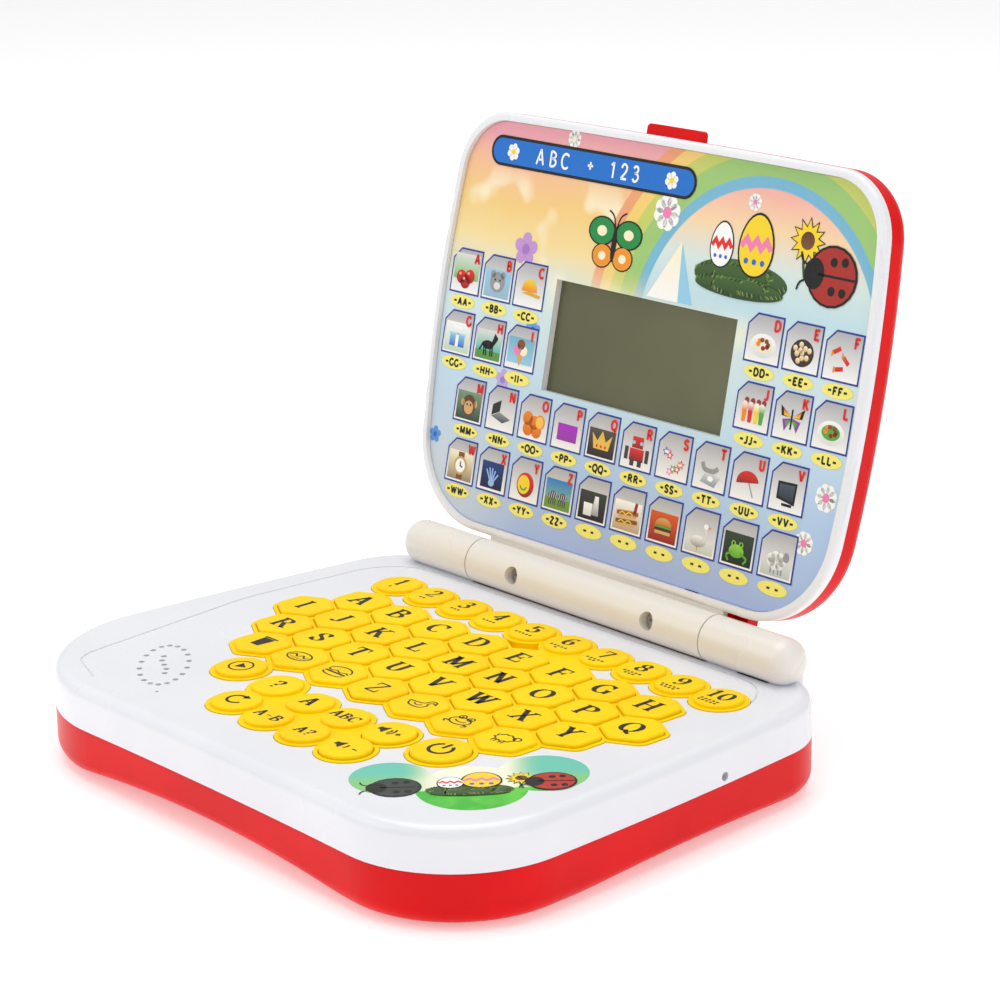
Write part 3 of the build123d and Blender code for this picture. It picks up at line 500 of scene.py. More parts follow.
# width, pen strokes, serif bars
GLYPHS = {
    "A": (0.84, [[(0.1, 0), (0.42, 0.98)], [(0.42, 1), (0.74, 0)], [(0.22, 0.33), (0.64, 0.33)]], foot(0.1, 0.72)),
    "B": (0.72, [STEM, bowl(0.5, 1, 0.6), bowl(0, 0.56, 0.66)], ENDS),
    "C": (0.76, [arc(0.44, 0.5, 0.36, 0.47, 45, 315)], tick(0.7, 0.66, 0.98)),
    "D": (0.8, [STEM, bowl(0, 1, 0.74)], ENDS),
    "E": (0.7, [STEM, [(0.16, 0.95), (0.66, 0.95)], [(0.16, 0.05), (0.68, 0.05)], [(0.16, 0.52), (0.52, 0.52)]],
          ENDS + tick(0.64, 0.74, 1) + tick(0.66, 0, 0.28) + tick(0.5, 0.38, 0.66)),
    "F": (0.66, [STEM, [(0.16, 0.95), (0.64, 0.95)], [(0.16, 0.5), (0.5, 0.5)]],
          ENDS + tick(0.62, 0.72, 1) + tick(0.5, 0.36, 0.64)),
    "G": (0.8, [arc(0.44, 0.5, 0.36, 0.47, 45, 320), [(0.72, 0.06), (0.72, 0.42)]],
          tick(0.7, 0.68, 0.98) + [(0.54, 0.4, 0.86, 0.47)]),
    "H": (0.84, [STEM, [(0.7, 0), (0.7, 1)], [(0.16, 0.5), (0.7, 0.5)]], ENDS + foot(0.7) + head(0.7)),
    "I": (0.34, [[(0.17, 0), (0.17, 1)]], foot(0.17) + head(0.17)),
    "J": (0.56, [[(0.4, 1), (0.4, 0.28)] + arc(0.22, 0.24, 0.18, 0.2, 0, -150, 10)], head(0.4)),
    "K": (0.8, [STEM, [(0.18, 0.42), (0.66, 0.97)], [(0.34, 0.58), (0.7, 0)]], ENDS + foot(0.7) + head(0.64)),
    "L": (0.68, [STEM, [(0.16, 0.05), (0.64, 0.05)]], ENDS + tick(0.62, 0, 0.32)),
    "M": (0.96, [[(0.14, 0), (0.14, 1)], [(0.16, 1), (0.48, 0.1)], [(0.48, 0.1), (0.8, 1)], [(0.82, 0), (0.82, 1)]],
          foot(0.14, 0.82) + head(0.1, 0.86)),
    "N": (0.84, [[(0.14, 0), (0.14, 1)], [(0.16, 1), (0.7, 0.02)], [(0.72, 0), (0.72, 1)]],
          foot(0.14) + head(0.1, 0.72)),
    "O": (0.84, [arc(0.42, 0.5, 0.36, 0.47, 0, 360, 24)], []),
    "P": (0.7, [STEM, bowl(0.44, 1, 0.64)], ENDS),
    "Q": (0.84, [arc(0.42, 0.5, 0.36, 0.47, 0, 360, 24), [(0.42, 0.16), (0.6, -0.04), (0.78, -0.12)]], []),
    "R": (0.8, [STEM, bowl(0.48, 1, 0.62), [(0.4, 0.5), (0.72, 0)]], ENDS + foot(0.74)),
    "S": (0.66, [smooth([(0.58, 0.78), (0.46, 0.95), (0.26, 0.95), (0.12, 0.78), (0.2, 0.6), (0.46, 0.44),
                         (0.58, 0.26), (0.46, 0.06), (0.26, 0.04), (0.1, 0.22)])],
          tick(0.56, 0.7, 0.98) + tick(0.06, 0.02, 0.3)),
    "T": (0.72, [[(0.36, 0), (0.36, 1)], [(0.04, 0.95), (0.68, 0.95)]],
          foot(0.36) + tick(0.03, 0.7, 1) + tick(0.66, 0.7, 1)),
    "U": (0.8, [[(0.16, 1), (0.16, 0.34)] + arc(0.4, 0.32, 0.24, 0.29, 180, 360, 12) + [(0.64, 1)]],
          head(0.16, 0.66)),
    "V": (0.8, [[(0.1, 1), (0.4, 0.02)], [(0.4, 0.02), (0.7, 1)]], head(0.1, 0.7)),
    "W": (1.1, [[(0.1, 1), (0.34, 0.02)], [(0.34, 0.02), (0.55, 0.9)], [(0.55, 0.9), (0.78, 0.02)],
                [(0.78, 0.02), (1.0, 1)]], head(0.1, 0.55, 1.0)),
    "X": (0.8, [[(0.12, 1), (0.68, 0)], [(0.12, 0), (0.68, 1)]], foot(0.12, 0.68) + head(0.12, 0.68)),
    "Y": (0.76, [[(0.1, 1), (0.38, 0.48)], [(0.66, 1), (0.38, 0.48)], [(0.38, 0.5), (0.38, 0)]],
          foot(0.38) + head(0.1, 0.66)),
    "Z": (0.72, [[(0.1, 0.95), (0.62, 0.95)], [(0.62, 0.95), (0.1, 0.05)], [(0.1, 0.05), (0.64, 0.05)]],
          tick(0.1, 0.7, 1) + tick(0.62, 0, 0.3)),
    "0": (0.7, [arc(0.35, 0.5, 0.28, 0.47, 0, 360, 24)], []),
    "1": (0.5, [[(0.27, 0), (0.27, 1)], [(0.06, 0.78), (0.27, 0.96)]], foot(0.27)),
    "2": (0.66, [smooth([(0.1, 0.72), (0.2, 0.93), (0.38, 0.97), (0.56, 0.8), (0.48, 0.5), (0.1, 0.06)]),
                 [(0.1, 0.06), (0.6, 0.06)]], tick(0.58, 0, 0.26)),
    "3": (0.62, [smooth([(0.1, 0.82), (0.24, 0.96), (0.44, 0.92), (0.5, 0.74), (0.4, 0.58), (0.22, 0.54)]),
                 smooth([(0.22, 0.54), (0.46, 0.48), (0.56, 0.28), (0.44, 0.07), (0.24, 0.03), (0.08, 0.18)])], []),
    "4": (0.7, [[(0.5, 0), (0.5, 1)], [(0.5, 0.97), (0.08, 0.3)], [(0.06, 0.3), (0.66, 0.3)]], foot(0.5)),
    "5": (0.62, [[(0.14, 0.94), (0.54, 0.94)], [(0.14, 0.98), (0.14, 0.52)],
                 smooth([(0.14, 0.54), (0.34, 0.62), (0.54, 0.5), (0.56, 0.22), (0.38, 0.04), (0.2, 0.04),
                         (0.08, 0.18)])], []),
    "6": (0.68, [smooth([(0.56, 0.88), (0.4, 0.97), (0.2, 0.82), (0.1, 0.5), (0.14, 0.2), (0.34, 0.04),
                         (0.54, 0.14),
                         (0.58, 0.36), (0.42, 0.56), (0.18, 0.44)])], []),
    "7": (0.62, [[(0.06, 0.94), (0.58, 0.94)], [(0.56, 0.94), (0.26, 0)]], tick(0.06, 0.68, 1)),
    "8": (0.66, [arc(0.33, 0.75, 0.2, 0.22, 0, 360), arc(0.33, 0.27, 0.26, 0.25, 0, 360)], []),
    "9": (0.68, [smooth([(0.12, 0.12), (0.28, 0.03), (0.48, 0.18), (0.58, 0.5), (0.54, 0.8), (0.34, 0.96),
                         (0.14, 0.86),
                         (0.1, 0.64), (0.26, 0.44), (0.5, 0.56)])], []),
    "?": (0.56, [smooth([(0.06, 0.74), (0.14, 0.92), (0.34, 0.97), (0.48, 0.8), (0.42, 0.58), (0.28, 0.44),
                         (0.28, 0.28)]),
                 [(0.28, 0.0), (0.28, 0.12)]], []),
    "+": (0.6, [[(0.06, 0.5), (0.54, 0.5)], [(0.3, 0.26), (0.3, 0.74)]], []),
    "-": (0.6, [[(0.06, 0.5), (0.54, 0.5)]], []),
    " ": (0.4, [], []),
}


# ---- card pictures, in a square from 0 to 1
def picture(draw, name):
    """Draws one small picture on a card; every one is a simple design of its own."""
    oval, fill, line = draw.oval, draw.fill, draw.line

    def block(x0, y0, x1, y1, ink, layer=0, top_ink=None):
        fill(rectangle(x0, y0, x1, y1), ink, layer, top_ink)

    if name == "apple":
        block(0, 0.3, 1, 1, srgb(120, 190, 90), 0, PALE)
        for x, y in ((0.32, 0.36), (0.66, 0.4), (0.5, 0.24)):
            oval(x, y, 0.2, 0.19, DARK_RED, 1, top_ink=RED)
            oval(x - 0.06, y + 0.08, 0.05, 0.04, srgb(240, 160, 150), 2)
    elif name == "bear":
        block(0, 0, 1, 0.75, srgb(150, 186, 205), 0, SKY)
        for x in (0.3, 0.7):
            oval(x, 0.62, 0.1, 0.1, GREY, 1)
        oval(0.5, 0.42, 0.3, 0.28, GREY, 1)
        oval(0.5, 0.32, 0.13, 0.1, PALE, 2)
        for x in (0.4, 0.6):
            oval(x, 0.48, 0.03, 0.03, BLACK, 2)
    elif name == "cap":
        fill(arc(0.5, 0.36, 0.3, 0.34, 0, 180), ORANGE, 1, YELLOW)
        fill([(0.5, 0.36), (0.95, 0.3), (0.92, 0.22), (0.2, 0.3)], srgb(220, 170, 30), 1)
    elif name in ("dinner", "lunch"):
        oval(0.5, 0.36, 0.44, 0.3, PALE, 0, top_ink=WHITE)
        oval(0.5, 0.37, 0.3, 0.19, srgb(240, 232, 210) if name == "dinner" else GREEN, 1)
        for i in range(7):
            x, y = 0.5 + 0.17 * math.cos(i * 2.4), 0.4 + 0.1 * math.sin(i * 2.4)
            oval(x, y, 0.07, 0.06, (BROWN, ORANGE, DARK_RED)[i % 3], 2, 10)
    elif name == "eggs":
        oval(0.5, 0.4, 0.38, 0.34, srgb(60, 50, 44), 0)
        for i in range(10):
            angle, reach = i * 2.4, 0.085 * math.sqrt(i)
            oval(0.5 + reach * math.cos(angle), 0.4 + reach * math.sin(angle), 0.075, 0.075, TAN, 1, 10, CREAM)
    elif name == "fish":
        for x, y, turn in ((0.3, 0.66, 30), (0.62, 0.44, -40), (0.44, 0.22, 10)):
            way = math.radians(turn)
            ahead, aside = math.cos(way), math.sin(way)
            line([(x - 0.12 * ahead, y - 0.12 * aside), (x + 0.12 * ahead, y + 0.12 * aside)], 0.11, RED, 1)
            tail = (x - 0.2 * ahead, y - 0.2 * aside)
            fill([(x, y), (tail[0], tail[1] + 0.08), (tail[0], tail[1] - 0.08)], ORANGE, 1)
    elif name == "gift":
        block(0, 0, 1, 0.8, srgb(190, 214, 190), 0, WHITE)
        block(0.2, 0.14, 0.8, 0.5, BLUE, 1, SKY)
        block(0.44, 0.14, 0.56, 0.5, WHITE, 2)
        block(0.16, 0.46, 0.84, 0.58, SKY, 2, WHITE)
        for x in (0.4, 0.6):
            oval(x, 0.66, 0.1, 0.07, WHITE, 2)
    elif name == "horse":
        block(0, 0, 1, 0.24, srgb(90, 150, 70), 0)
        block(0, 0.24, 1, 0.8, srgb(90, 190, 180), 0, PALE)
        oval(0.48, 0.4, 0.23, 0.12, BLACK, 1)
        fill([(0.6, 0.42), (0.72, 0.74), (0.86, 0.62), (0.84, 0.56), (0.72, 0.4)], BLACK, 1)
        for x in (0.32, 0.4, 0.58, 0.66):
            line([(x, 0.4), (x + 0.03, 0.1)], 0.05, BLACK, 1)
        line([(0.28, 0.44), (0.16, 0.22)], 0.06, BLACK, 1)
    elif name == "ice":
        block(0, 0.1, 1, 0.8, SKY, 0, srgb(120, 180, 205))
        fill([(0.32, 0.4), (0.68, 0.4), (0.5, 0.04)], TAN, 1)
        for x, y, ink in ((0.38, 0.46, PINK), (0.62, 0.46, CREAM), (0.5, 0.62, BROWN)):
            oval(x, y, 0.15, 0.14, ink, 2)
    elif name == "juice":
        for x, ink in ((0.22, ORANGE), (0.42, RED), (0.62, YELLOW), (0.8, GREEN)):
            fill([(x - 0.08, 0.42), (x + 0.08, 0.42), (x + 0.06, 0.12), (x - 0.06, 0.12)], ink, 1)
            oval(x, 0.52, 0.1, 0.12, ink, 2, 12, WHITE)
            oval(x + 0.04, 0.66, 0.08, 0.08, srgb(150, 60, 40), 1, 10)
    elif name == "kite":
        for side in (-1, 1):
            fill([(0.5, 0.5), (0.5 + side * 0.4, 0.76), (0.5 + side * 0.34, 0.5)], BLACK, 1)
            fill([(0.5, 0.5), (0.5 + side * 0.3, 0.68), (0.5 + side * 0.26, 0.52)], YELLOW, 2, RED)
            fill([(0.5, 0.48), (0.5 + side * 0.3, 0.42), (0.5 + side * 0.2, 0.14)], PURPLE, 1)
            fill([(0.5, 0.44), (0.5 + side * 0.2, 0.38), (0.5 + side * 0.14, 0.24)], GREEN, 2)
        line([(0.5, 0.2), (0.5, 0.7)], 0.05, BLACK, 3)
    elif name == "monkey":
        block(0, 0, 1, 0.78, srgb(50, 70, 56), 0, srgb(120, 150, 120))
        oval(0.5, 0.4, 0.28, 0.3, srgb(96, 66, 48), 1)
        for x in (0.24, 0.76):
            oval(x, 0.46, 0.08, 0.1, TAN, 1)
        oval(0.5, 0.34, 0.19, 0.19, TAN, 2)
        for x in (0.43, 0.57):
            oval(x, 0.42, 0.03, 0.04, BLACK, 3, 8)
    elif name == "notebook":
        fill([(0.12, 0.3), (0.6, 0.16), (0.9, 0.3), (0.44, 0.44)], srgb(60, 70, 76), 1, GREY)
        fill([(0.12, 0.32), (0.44, 0.46), (0.46, 0.78), (0.14, 0.62)], srgb(34, 44, 46), 1)
    elif name == "orange":
        for x, y in ((0.3, 0.22), (0.64, 0.2), (0.26, 0.5), (0.52, 0.42)):
            oval(x, y, 0.2, 0.19, srgb(216, 110, 20), 1, top_ink=ORANGE)
        oval(0.74, 0.46, 0.19, 0.2, ORANGE, 2)
        oval(0.74, 0.46, 0.15, 0.16, srgb(250, 196, 90), 3)
    elif name == "purple":
        block(0.12, 0.16, 0.88, 0.62, PURPLE, 1, srgb(176, 40, 200))
    elif name == "crown":
        block(0, 0, 1, 0.74, srgb(40, 34, 34), 0, srgb(84, 78, 70))
        fill([(0.22, 0.2), (0.78, 0.2), (0.88, 0.62), (0.66, 0.42), (0.5, 0.7), (0.34, 0.42), (0.12, 0.62)],
             srgb(232, 190, 80), 1)
        for x in (0.34, 0.5, 0.66):
            oval(x, 0.28, 0.04, 0.04, RED, 2, 8)
    elif name == "robot":
        block(0.3, 0.5, 0.7, 0.8, DARK_RED, 1, RED)
        block(0.24, 0.16, 0.76, 0.48, srgb(120, 30, 40), 1, RED)
        for x in (0.12, 0.88):
            line([(x, 0.5), (x, 0.16)], 0.13, srgb(60, 60, 66), 1)
        for x in (0.36, 0.64):
            line([(x, 0.18), (x, 0.02)], 0.15, srgb(60, 60, 66), 1)
            oval(x, 0.64, 0.06, 0.05, SKY, 2, 10)
    elif name == "stars":
        for i, ink in enumerate((RED, PINK, GREEN, RED, BLUE, ORANGE, PINK, RED)):
            x, y = 0.5 + 0.3 * math.cos(i * 2.4), 0.38 + 0.26 * math.sin(i * 1.9)
            fill(star(x, y, 0.13, 0.06, 5, 90 + 20 * i), ink, 1)
            fill(star(x, y, 0.07, 0.03, 5, 90 + 20 * i), WHITE, 2)
    elif name == "telephone":
        fill([(0.2, 0.12), (0.7, 0.04), (0.86, 0.3), (0.36, 0.42)], srgb(130, 150, 170), 1, PALE)
        line(smooth([(0.2, 0.62), (0.3, 0.46), (0.6, 0.44), (0.76, 0.54)]), 0.12, GREY, 2)
        oval(0.54, 0.24, 0.1, 0.07, WHITE, 2)
    elif name == "umbrella":
        line([(0.52, 0.42), (0.72, 0.06)], 0.035, GREY, 1)
        fill(arc(0.48, 0.4, 0.38, 0.3, 10, 190), DARK_RED, 2, RED)
    elif name == "monitor":
        fill([(0.16, 0.24), (0.78, 0.14), (0.8, 0.7), (0.16, 0.68)], BLACK, 1)
        screen = [(0.22, 0.3), (0.72, 0.22), (0.74, 0.64), (0.22, 0.62)]
        fill(screen, srgb(40, 52, 66), 2, srgb(70, 84, 100))
        block(0.36, 0.08, 0.7, 0.15, BLACK, 1)
    elif name == "watch":
        block(0, 0, 1, 0.8, srgb(150, 130, 100), 0, CREAM)
        line([(0.5, 0.02), (0.5, 0.78)], 0.24, BROWN, 1)
        oval(0.5, 0.4, 0.27, 0.26, srgb(200, 170, 90), 2)
        oval(0.5, 0.4, 0.2, 0.2, WHITE, 3)
        line([(0.5, 0.52), (0.5, 0.4), (0.6, 0.36)], 0.04, BLACK, 4)
    elif name == "xray":
        block(0.06, 0.02, 0.94, 0.76, srgb(14, 20, 50), 0, srgb(30, 60, 130))
        for i in range(5):
            tip = (0.26 + 0.12 * i, 0.44 + 0.16 * math.sin(0.6 + 0.63 * i))
            line([(0.5, 0.14), tip], 0.05, srgb(150, 190, 240), 1)
        oval(0.5, 0.18, 0.12, 0.1, srgb(150, 190, 240), 2)
    elif name == "yoyo":
        oval(0.52, 0.4, 0.34, 0.34, DARK_RED, 1, top_ink=RED)
        oval(0.46, 0.4, 0.24, 0.26, YELLOW, 2)
        line(arc(0.46, 0.4, 0.13, 0.14, 200, 340), 0.05, GREEN, 3)
    elif name == "zebra":
        block(0, 0, 1, 0.3, srgb(110, 150, 60), 0)
        block(0, 0.3, 1, 0.8, srgb(120, 170, 160), 0, srgb(40, 130, 200))
        for x in (0.3, 0.68):
            oval(x, 0.36, 0.17, 0.11, srgb(60, 56, 54), 1)
            for i in range(4):
                line([(x - 0.12 + 0.08 * i, 0.27), (x - 0.1 + 0.08 * i, 0.45)], 0.022, PALE, 2)
                line([(x - 0.12 + 0.08 * i, 0.3), (x - 0.12 + 0.08 * i, 0.1)], 0.03, srgb(60, 56, 54), 1)
    elif name == "milk":
        block(0, 0, 1, 0.76, BLACK, 0, srgb(56, 60, 56))
        fill([(0.2, 0.1), (0.5, 0.1), (0.52, 0.44), (0.18, 0.44)], PALE, 1, WHITE)
        fill([(0.5, 0.14), (0.78, 0.14), (0.72, 0.66), (0.58, 0.66)], GREY, 2, WHITE)
    elif name == "hotdog":
        block(0, 0, 1, 0.78, srgb(190, 160, 120), 0, WHITE)
        for y, ink in ((0.2, BROWN), (0.42, srgb(160, 90, 40))):
            line([(0.16, y), (0.84, y + 0.06)], 0.2, TAN, 1)
            line([(0.1, y + 0.02), (0.9, y + 0.08)], 0.1, ink, 2)
            mustard = [(0.2, y), (0.32, y + 0.06), (0.44, y + 0.01), (0.56, y + 0.08), (0.7, y + 0.03)]
            line(smooth(mustard), 0.03, YELLOW, 3)
        line([(0.76, 0.5), (0.8, 0.78)], 0.1, DARK_RED, 2)
    elif name == "burger":
        block(0, 0, 1, 0.76, srgb(150, 30, 16), 0, srgb(220, 90, 30))
        fill(arc(0.5, 0.42, 0.3, 0.2, 0, 180), srgb(200, 120, 40), 1, TAN)
        line([(0.2, 0.38), (0.8, 0.38)], 0.05, GREEN, 2)
        line([(0.2, 0.32), (0.8, 0.32)], 0.08, srgb(80, 40, 24), 2)
        line([(0.22, 0.24), (0.78, 0.24)], 0.09, TAN, 1)
    elif name == "duck":
        block(0, 0, 1, 0.3, srgb(200, 206, 196), 0, PALE)
        oval(0.44, 0.3, 0.28, 0.15, GREY, 1, top_ink=WHITE)
        line(smooth([(0.62, 0.34), (0.72, 0.5), (0.66, 0.68)]), 0.1, PALE, 2)
        oval(0.68, 0.72, 0.09, 0.07, WHITE, 3)
        fill([(0.75, 0.74), (0.88, 0.7), (0.75, 0.68)], ORANGE, 3)
        line([(0.44, 0.18), (0.44, 0.04)], 0.03, ORANGE, 1)
    elif name == "frog":
        block(0, 0, 1, 0.8, srgb(14, 34, 18), 0, srgb(50, 66, 50))
        oval(0.46, 0.34, 0.26, 0.17, srgb(90, 170, 40), 1, top_ink=srgb(150, 210, 70))
        for x in (0.34, 0.6):
            oval(x, 0.52, 0.08, 0.08, srgb(130, 200, 60), 2, 12)
            oval(x, 0.53, 0.035, 0.045, BLACK, 3, 8)
            leg = [(x, 0.3), (x + (x - 0.46) * 1.6, 0.2), (x + (x - 0.46), 0.06)]
            line(smooth(leg), 0.06, srgb(90, 170, 40), 2)
    elif name == "sheep":
        block(0, 0, 1, 0.4, srgb(190, 200, 196), 0, PALE)
        for x in (0.34, 0.46, 0.6, 0.7):
            line([(x, 0.3), (x, 0.06)], 0.05, GREY, 1)
        for i in range(7):
            oval(0.5 + 0.2 * math.cos(i * 0.9), 0.4 + 0.13 * math.sin(i * 0.9), 0.14, 0.12, PALE, 2, 12, WHITE)
        oval(0.8, 0.54, 0.1, 0.12, GREY, 3)


CARD_CUT = 3.4              # size of the cut corner
CARD_EDGE = 0.55            # width of the blue edge


def card(draw, left, bottom, width, height, letter, name):
    """A card with one corner cut: blue edge, grey to white face, picture, red letter and a caption."""
    right, top = left + width, bottom + height
    outer = [(left, bottom), (right, bottom), (right, top), (left + CARD_CUT, top), (left, top - CARD_CUT)]
    m = CARD_EDGE
    inner = [(left + m, bottom + m), (right - m, bottom + m), (right - m, top - m),
             (left + CARD_CUT + 0.25, top - m), (left + m, top - CARD_CUT - 0.2)]
    draw.move_to()
    draw.fill(outer, DARK_BLUE, 3)
    draw.fill(inner, srgb(246, 246, 246), 4, srgb(176, 176, 180))
    draw.move_to(left + 1.2, bottom + 1.1, width - 2.4, 5)
    picture(draw, name)
    draw.move_to()
    if letter:
        draw.write(letter, right - 2.5, top - 4.3, 3.0, srgb(224, 38, 34), 10, weight=0.26)
    caption = "-" + letter * 2 + "-" if letter else "- -"
    middle = left + width / 2
    draw.oval(middle, bottom - 2.5, width * 0.42, 2.1, srgb(246, 236, 120), 3, 24)
    draw.write(caption, middle, bottom - 3.6, 2.2, srgb(34, 34, 30), 4, weight=0.3, stretch=1.15)


LETTER_PICTURES = """apple bear cap dinner eggs fish gift horse ice juice kite lunch monkey notebook orange
    purple crown robot stars telephone umbrella monitor watch xray yoyo zebra""".split()
PLAIN_PICTURES = "milk hotdog burger duck frog sheep".split()
CARDS = [*zip("ABCDEFGHIJKLMNOPQRSTUVWXYZ", LETTER_PICTURES), *(("", name) for name in PLAIN_PICTURES)]
# left, bottom, step, width and height of the cards in a row, and which cards
ROWS = [
    (-87.0, 80.0, 15.0, 14.0, 14.4, CARDS[:3]),
    (42.8, 80.0, 15.1, 14.0, 14.4, CARDS[3:6]),
    (-87.0, 60.4, 15.0, 14.0, 14.2, CARDS[6:9]),
    (42.8, 60.4, 15.1, 14.0, 14.2, CARDS[9:12]),
    (-77.0, 40.2, 15.3, 13.8, 14.4, CARDS[12:22]),
    (-77.0, 20.8, 15.3, 13.8, 14.2, CARDS[22:]),
]


def flower(draw, x, y, radius, petals, ink, heart, layer=1):
    """A small flower of round petals."""
    for i in range(petals):
        angle = 2 * math.pi * i / petals + 0.3
        px, py = x + 0.6 * radius * math.cos(angle), y + 0.6 * radius * math.sin(angle)
        draw.oval(px, py, 0.38 * radius, 0.38 * radius, ink, layer, 12)
    draw.oval(x, y, 0.32 * radius, 0.32 * radius, heart, layer + 1, 12)


def egg(draw, x, y, rx, ry, ink, stripe, layer):
    """A painted egg with a dark outline, one zigzag and a row of dots."""
    shell = [(px, py + 0.12 * ry * (1 - ((px - x) / rx) ** 2)) for px, py in arc(x, y, rx, ry, 0, 360, 28)[:-1]]
    draw.fill([(x + (px - x) * 1.1, y + (py - y) * 1.07) for px, py in shell], BLACK, layer)
    draw.fill(shell, ink, layer + 1)
    steps = 6
    zigzag = [(x + rx * 0.92 * (2 * i / steps - 1), y + ry * (0.32 if i % 2 else 0.02))
              for i in range(steps + 1)]
    draw.line(zigzag, ry * 0.2, stripe, layer + 2)
    for i in (-1, 0, 1):
        draw.oval(x + i * rx * 0.5, y - ry * 0.42, rx * 0.14, rx * 0.14, BLUE, layer + 2, 10)


def nest(draw, x, y, rx, ry, layer):
    """A mossy nest: a thick bundle of short dark and light blades."""
    draw.oval(x, y, rx, ry, srgb(40, 66, 34), layer, 32, srgb(70, 104, 50))
    for i in range(70):
        angle = i * 2.39996
        reach = 0.55 + 0.45 * ((i * 37) % 70) / 70
        px, py = x + rx * reach * math.cos(angle), y + ry * reach * math.sin(angle)
        lean = math.radians(20 + (i * 53) % 140)
        blade = 0.12 * ry + 0.9
        ink = (srgb(96, 130, 60), srgb(30, 50, 26), srgb(130, 156, 80))[i % 3]
        tip = (px + blade * math.cos(lean), py + blade * math.sin(lean))
        draw.line([(px, py), tip], 0.35, ink, layer + 1)


def ladybird(draw, x, y, size, ink, layer):
    """A round beetle seen from above, with a dark head and spots."""
    draw.oval(x, y, size * 1.05, size * 0.98, BLACK, layer)
    draw.oval(x, y, size * 0.96, size * 0.9, ink, layer + 1)
    draw.oval(x - size * 0.75, y, size * 0.42, size * 0.5, BLACK, layer + 2, 18)
    draw.line([(x - size * 0.6, y), (x + size * 0.95, y)], size * 0.08, BLACK, layer + 2)
    for dx, dy in ((0.0, 0.45), (0.45, 0.5), (0.05, -0.45), (0.5, -0.45)):
        draw.oval(x + dx * size, y + dy * size, size * 0.15, size * 0.15, BLACK, layer + 2, 12)
    for side in (-1, 1):
        feeler = [(x - size, y + side * 0.2 * size), (x - size * 1.3, y + side * 0.35 * size),
                  (x - size * 1.4, y + side * 0.6 * size)]
        draw.line(smooth(feeler), size * 0.07, BLACK, layer)


def sunflower(draw, x, y, size, layer):
    """A yellow flower with a brown heart on a leafy stem."""
    stem = [(x, y), (x - size * 0.1, y - size * 0.9), (x + size * 0.1, y - size * 1.7)]
    draw.line(smooth(stem), size * 0.14, DARK_GREEN, layer)
    draw.fill(star(x, y, size * 1.1, size * 0.68, 12), BLACK, layer + 1)
    draw.fill(star(x, y, size * 0.98, size * 0.6, 12), YELLOW, layer + 2)
    draw.oval(x, y, size * 0.42, size * 0.42, BROWN, layer + 3, 18, srgb(90, 54, 30))


def butterfly(draw, x, y, size, layer):
    """A butterfly with two green upper wings and two orange lower wings."""
    for side in (-1, 1):
        for dx, dy, rx, ry, ink in ((0.55, 0.34, 0.5, 0.38, srgb(30, 140, 70)),
                                    (0.42, -0.36, 0.38, 0.32, srgb(240, 150, 40))):
            for share, shade, height in ((1.12, BLACK, 0), (1.0, ink, 1), (0.4, CREAM, 2)):
                draw.oval(x + side * dx * size, y + dy * size, rx * size * share, ry * size * share,
                          shade, layer + height)
        feeler = [(x, y + 0.4 * size), (x + side * 0.14 * size, y + 0.8 * size),
                  (x + side * 0.36 * size, y + 0.95 * size)]
        draw.line(smooth(feeler), size * 0.05, BLACK, layer)
    draw.oval(x, y, size * 0.1, size * 0.5, BLACK, layer + 3)


BANNER_UP = 126.8           # middle of the banner, up the lid
# across and up the lid, radius, petals, their ink and the heart's
FLOWERS = [
    (4, 117.3, 5.6, 8, WHITE, PINK),
    (38.3, 125, 2.6, 8, WHITE, PINK),
    (-39.6, 134, 2.9, 8, WHITE, CREAM),
    (82, 47.6, 4.2, 8, WHITE, PINK),
    (76.5, 33.5, 3.6, 8, WHITE, PINK),
    (-54.3, 98, 5.4, 5, srgb(196, 150, 214), srgb(170, 120, 200)),
    (-84.2, 34, 2.8, 5, srgb(90, 150, 220), BLUE),
    (-46, 74, 3.4, 5, srgb(110, 160, 225), BLUE),
    (-56.3, 56.5, 3.6, 5, srgb(190, 170, 225), srgb(150, 130, 210)),
]


def draw_lid():
    """All the printing on the lid's sheet."""
    draw = Print(FLAT_LID)
    for x, y, radius, petals, ink, heart in FLOWERS:
        flower(draw, x, y, radius, petals, ink, heart)
    draw.fill([(0.5, 92), (13.5, 92), (12, 110)], WHITE, 0, CREAM)
    draw.fill([(13.5, 92), (19.5, 92), (12, 110)], SKY, 0)
    for half, ink, layer in ((4.75, BLACK, 5), (3.85, srgb(24, 112, 204), 6)):
        pill = arc(-71.5, BANNER_UP, half, half, 90, 270) + arc(9.5, BANNER_UP, half, half, -90, 90)
        draw.fill(pill, ink, layer)
    for text, x in (("ABC", -48), ("+", -31), ("123", -16)):
        draw.write(text, x, BANNER_UP - 2.4, 4.8, WHITE, 7, weight=0.15, space=0.4)
    for x in (4, -66):
        flower(draw, x, BANNER_UP, 2.8, 6, WHITE, YELLOW, 7)
    butterfly(draw, -16.2, 104.8, 10.5, 2)
    nest(draw, 37, 102.4, 18.5, 5.6, 2)
    egg(draw, 28, 110.6, 4.3, 6.4, WHITE, RED, 5)
    egg(draw, 41.4, 111.8, 6.4, 8.8, YELLOW, PINK, 5)
    nest(draw, 37, 99.8, 17.5, 3.0, 9)
    sunflower(draw, 60.5, 117.0, 6.2, 3)
    ladybird(draw, 71.5, 108.4, 9.0, srgb(170, 44, 38), 8)
    for left, bottom, pitch, width, height, cards in ROWS:
        for i, (letter, name) in enumerate(cards):
            card(draw, left + i * pitch, bottom, width, height, letter, name)
    draw.piece("lid_artwork", "lid")


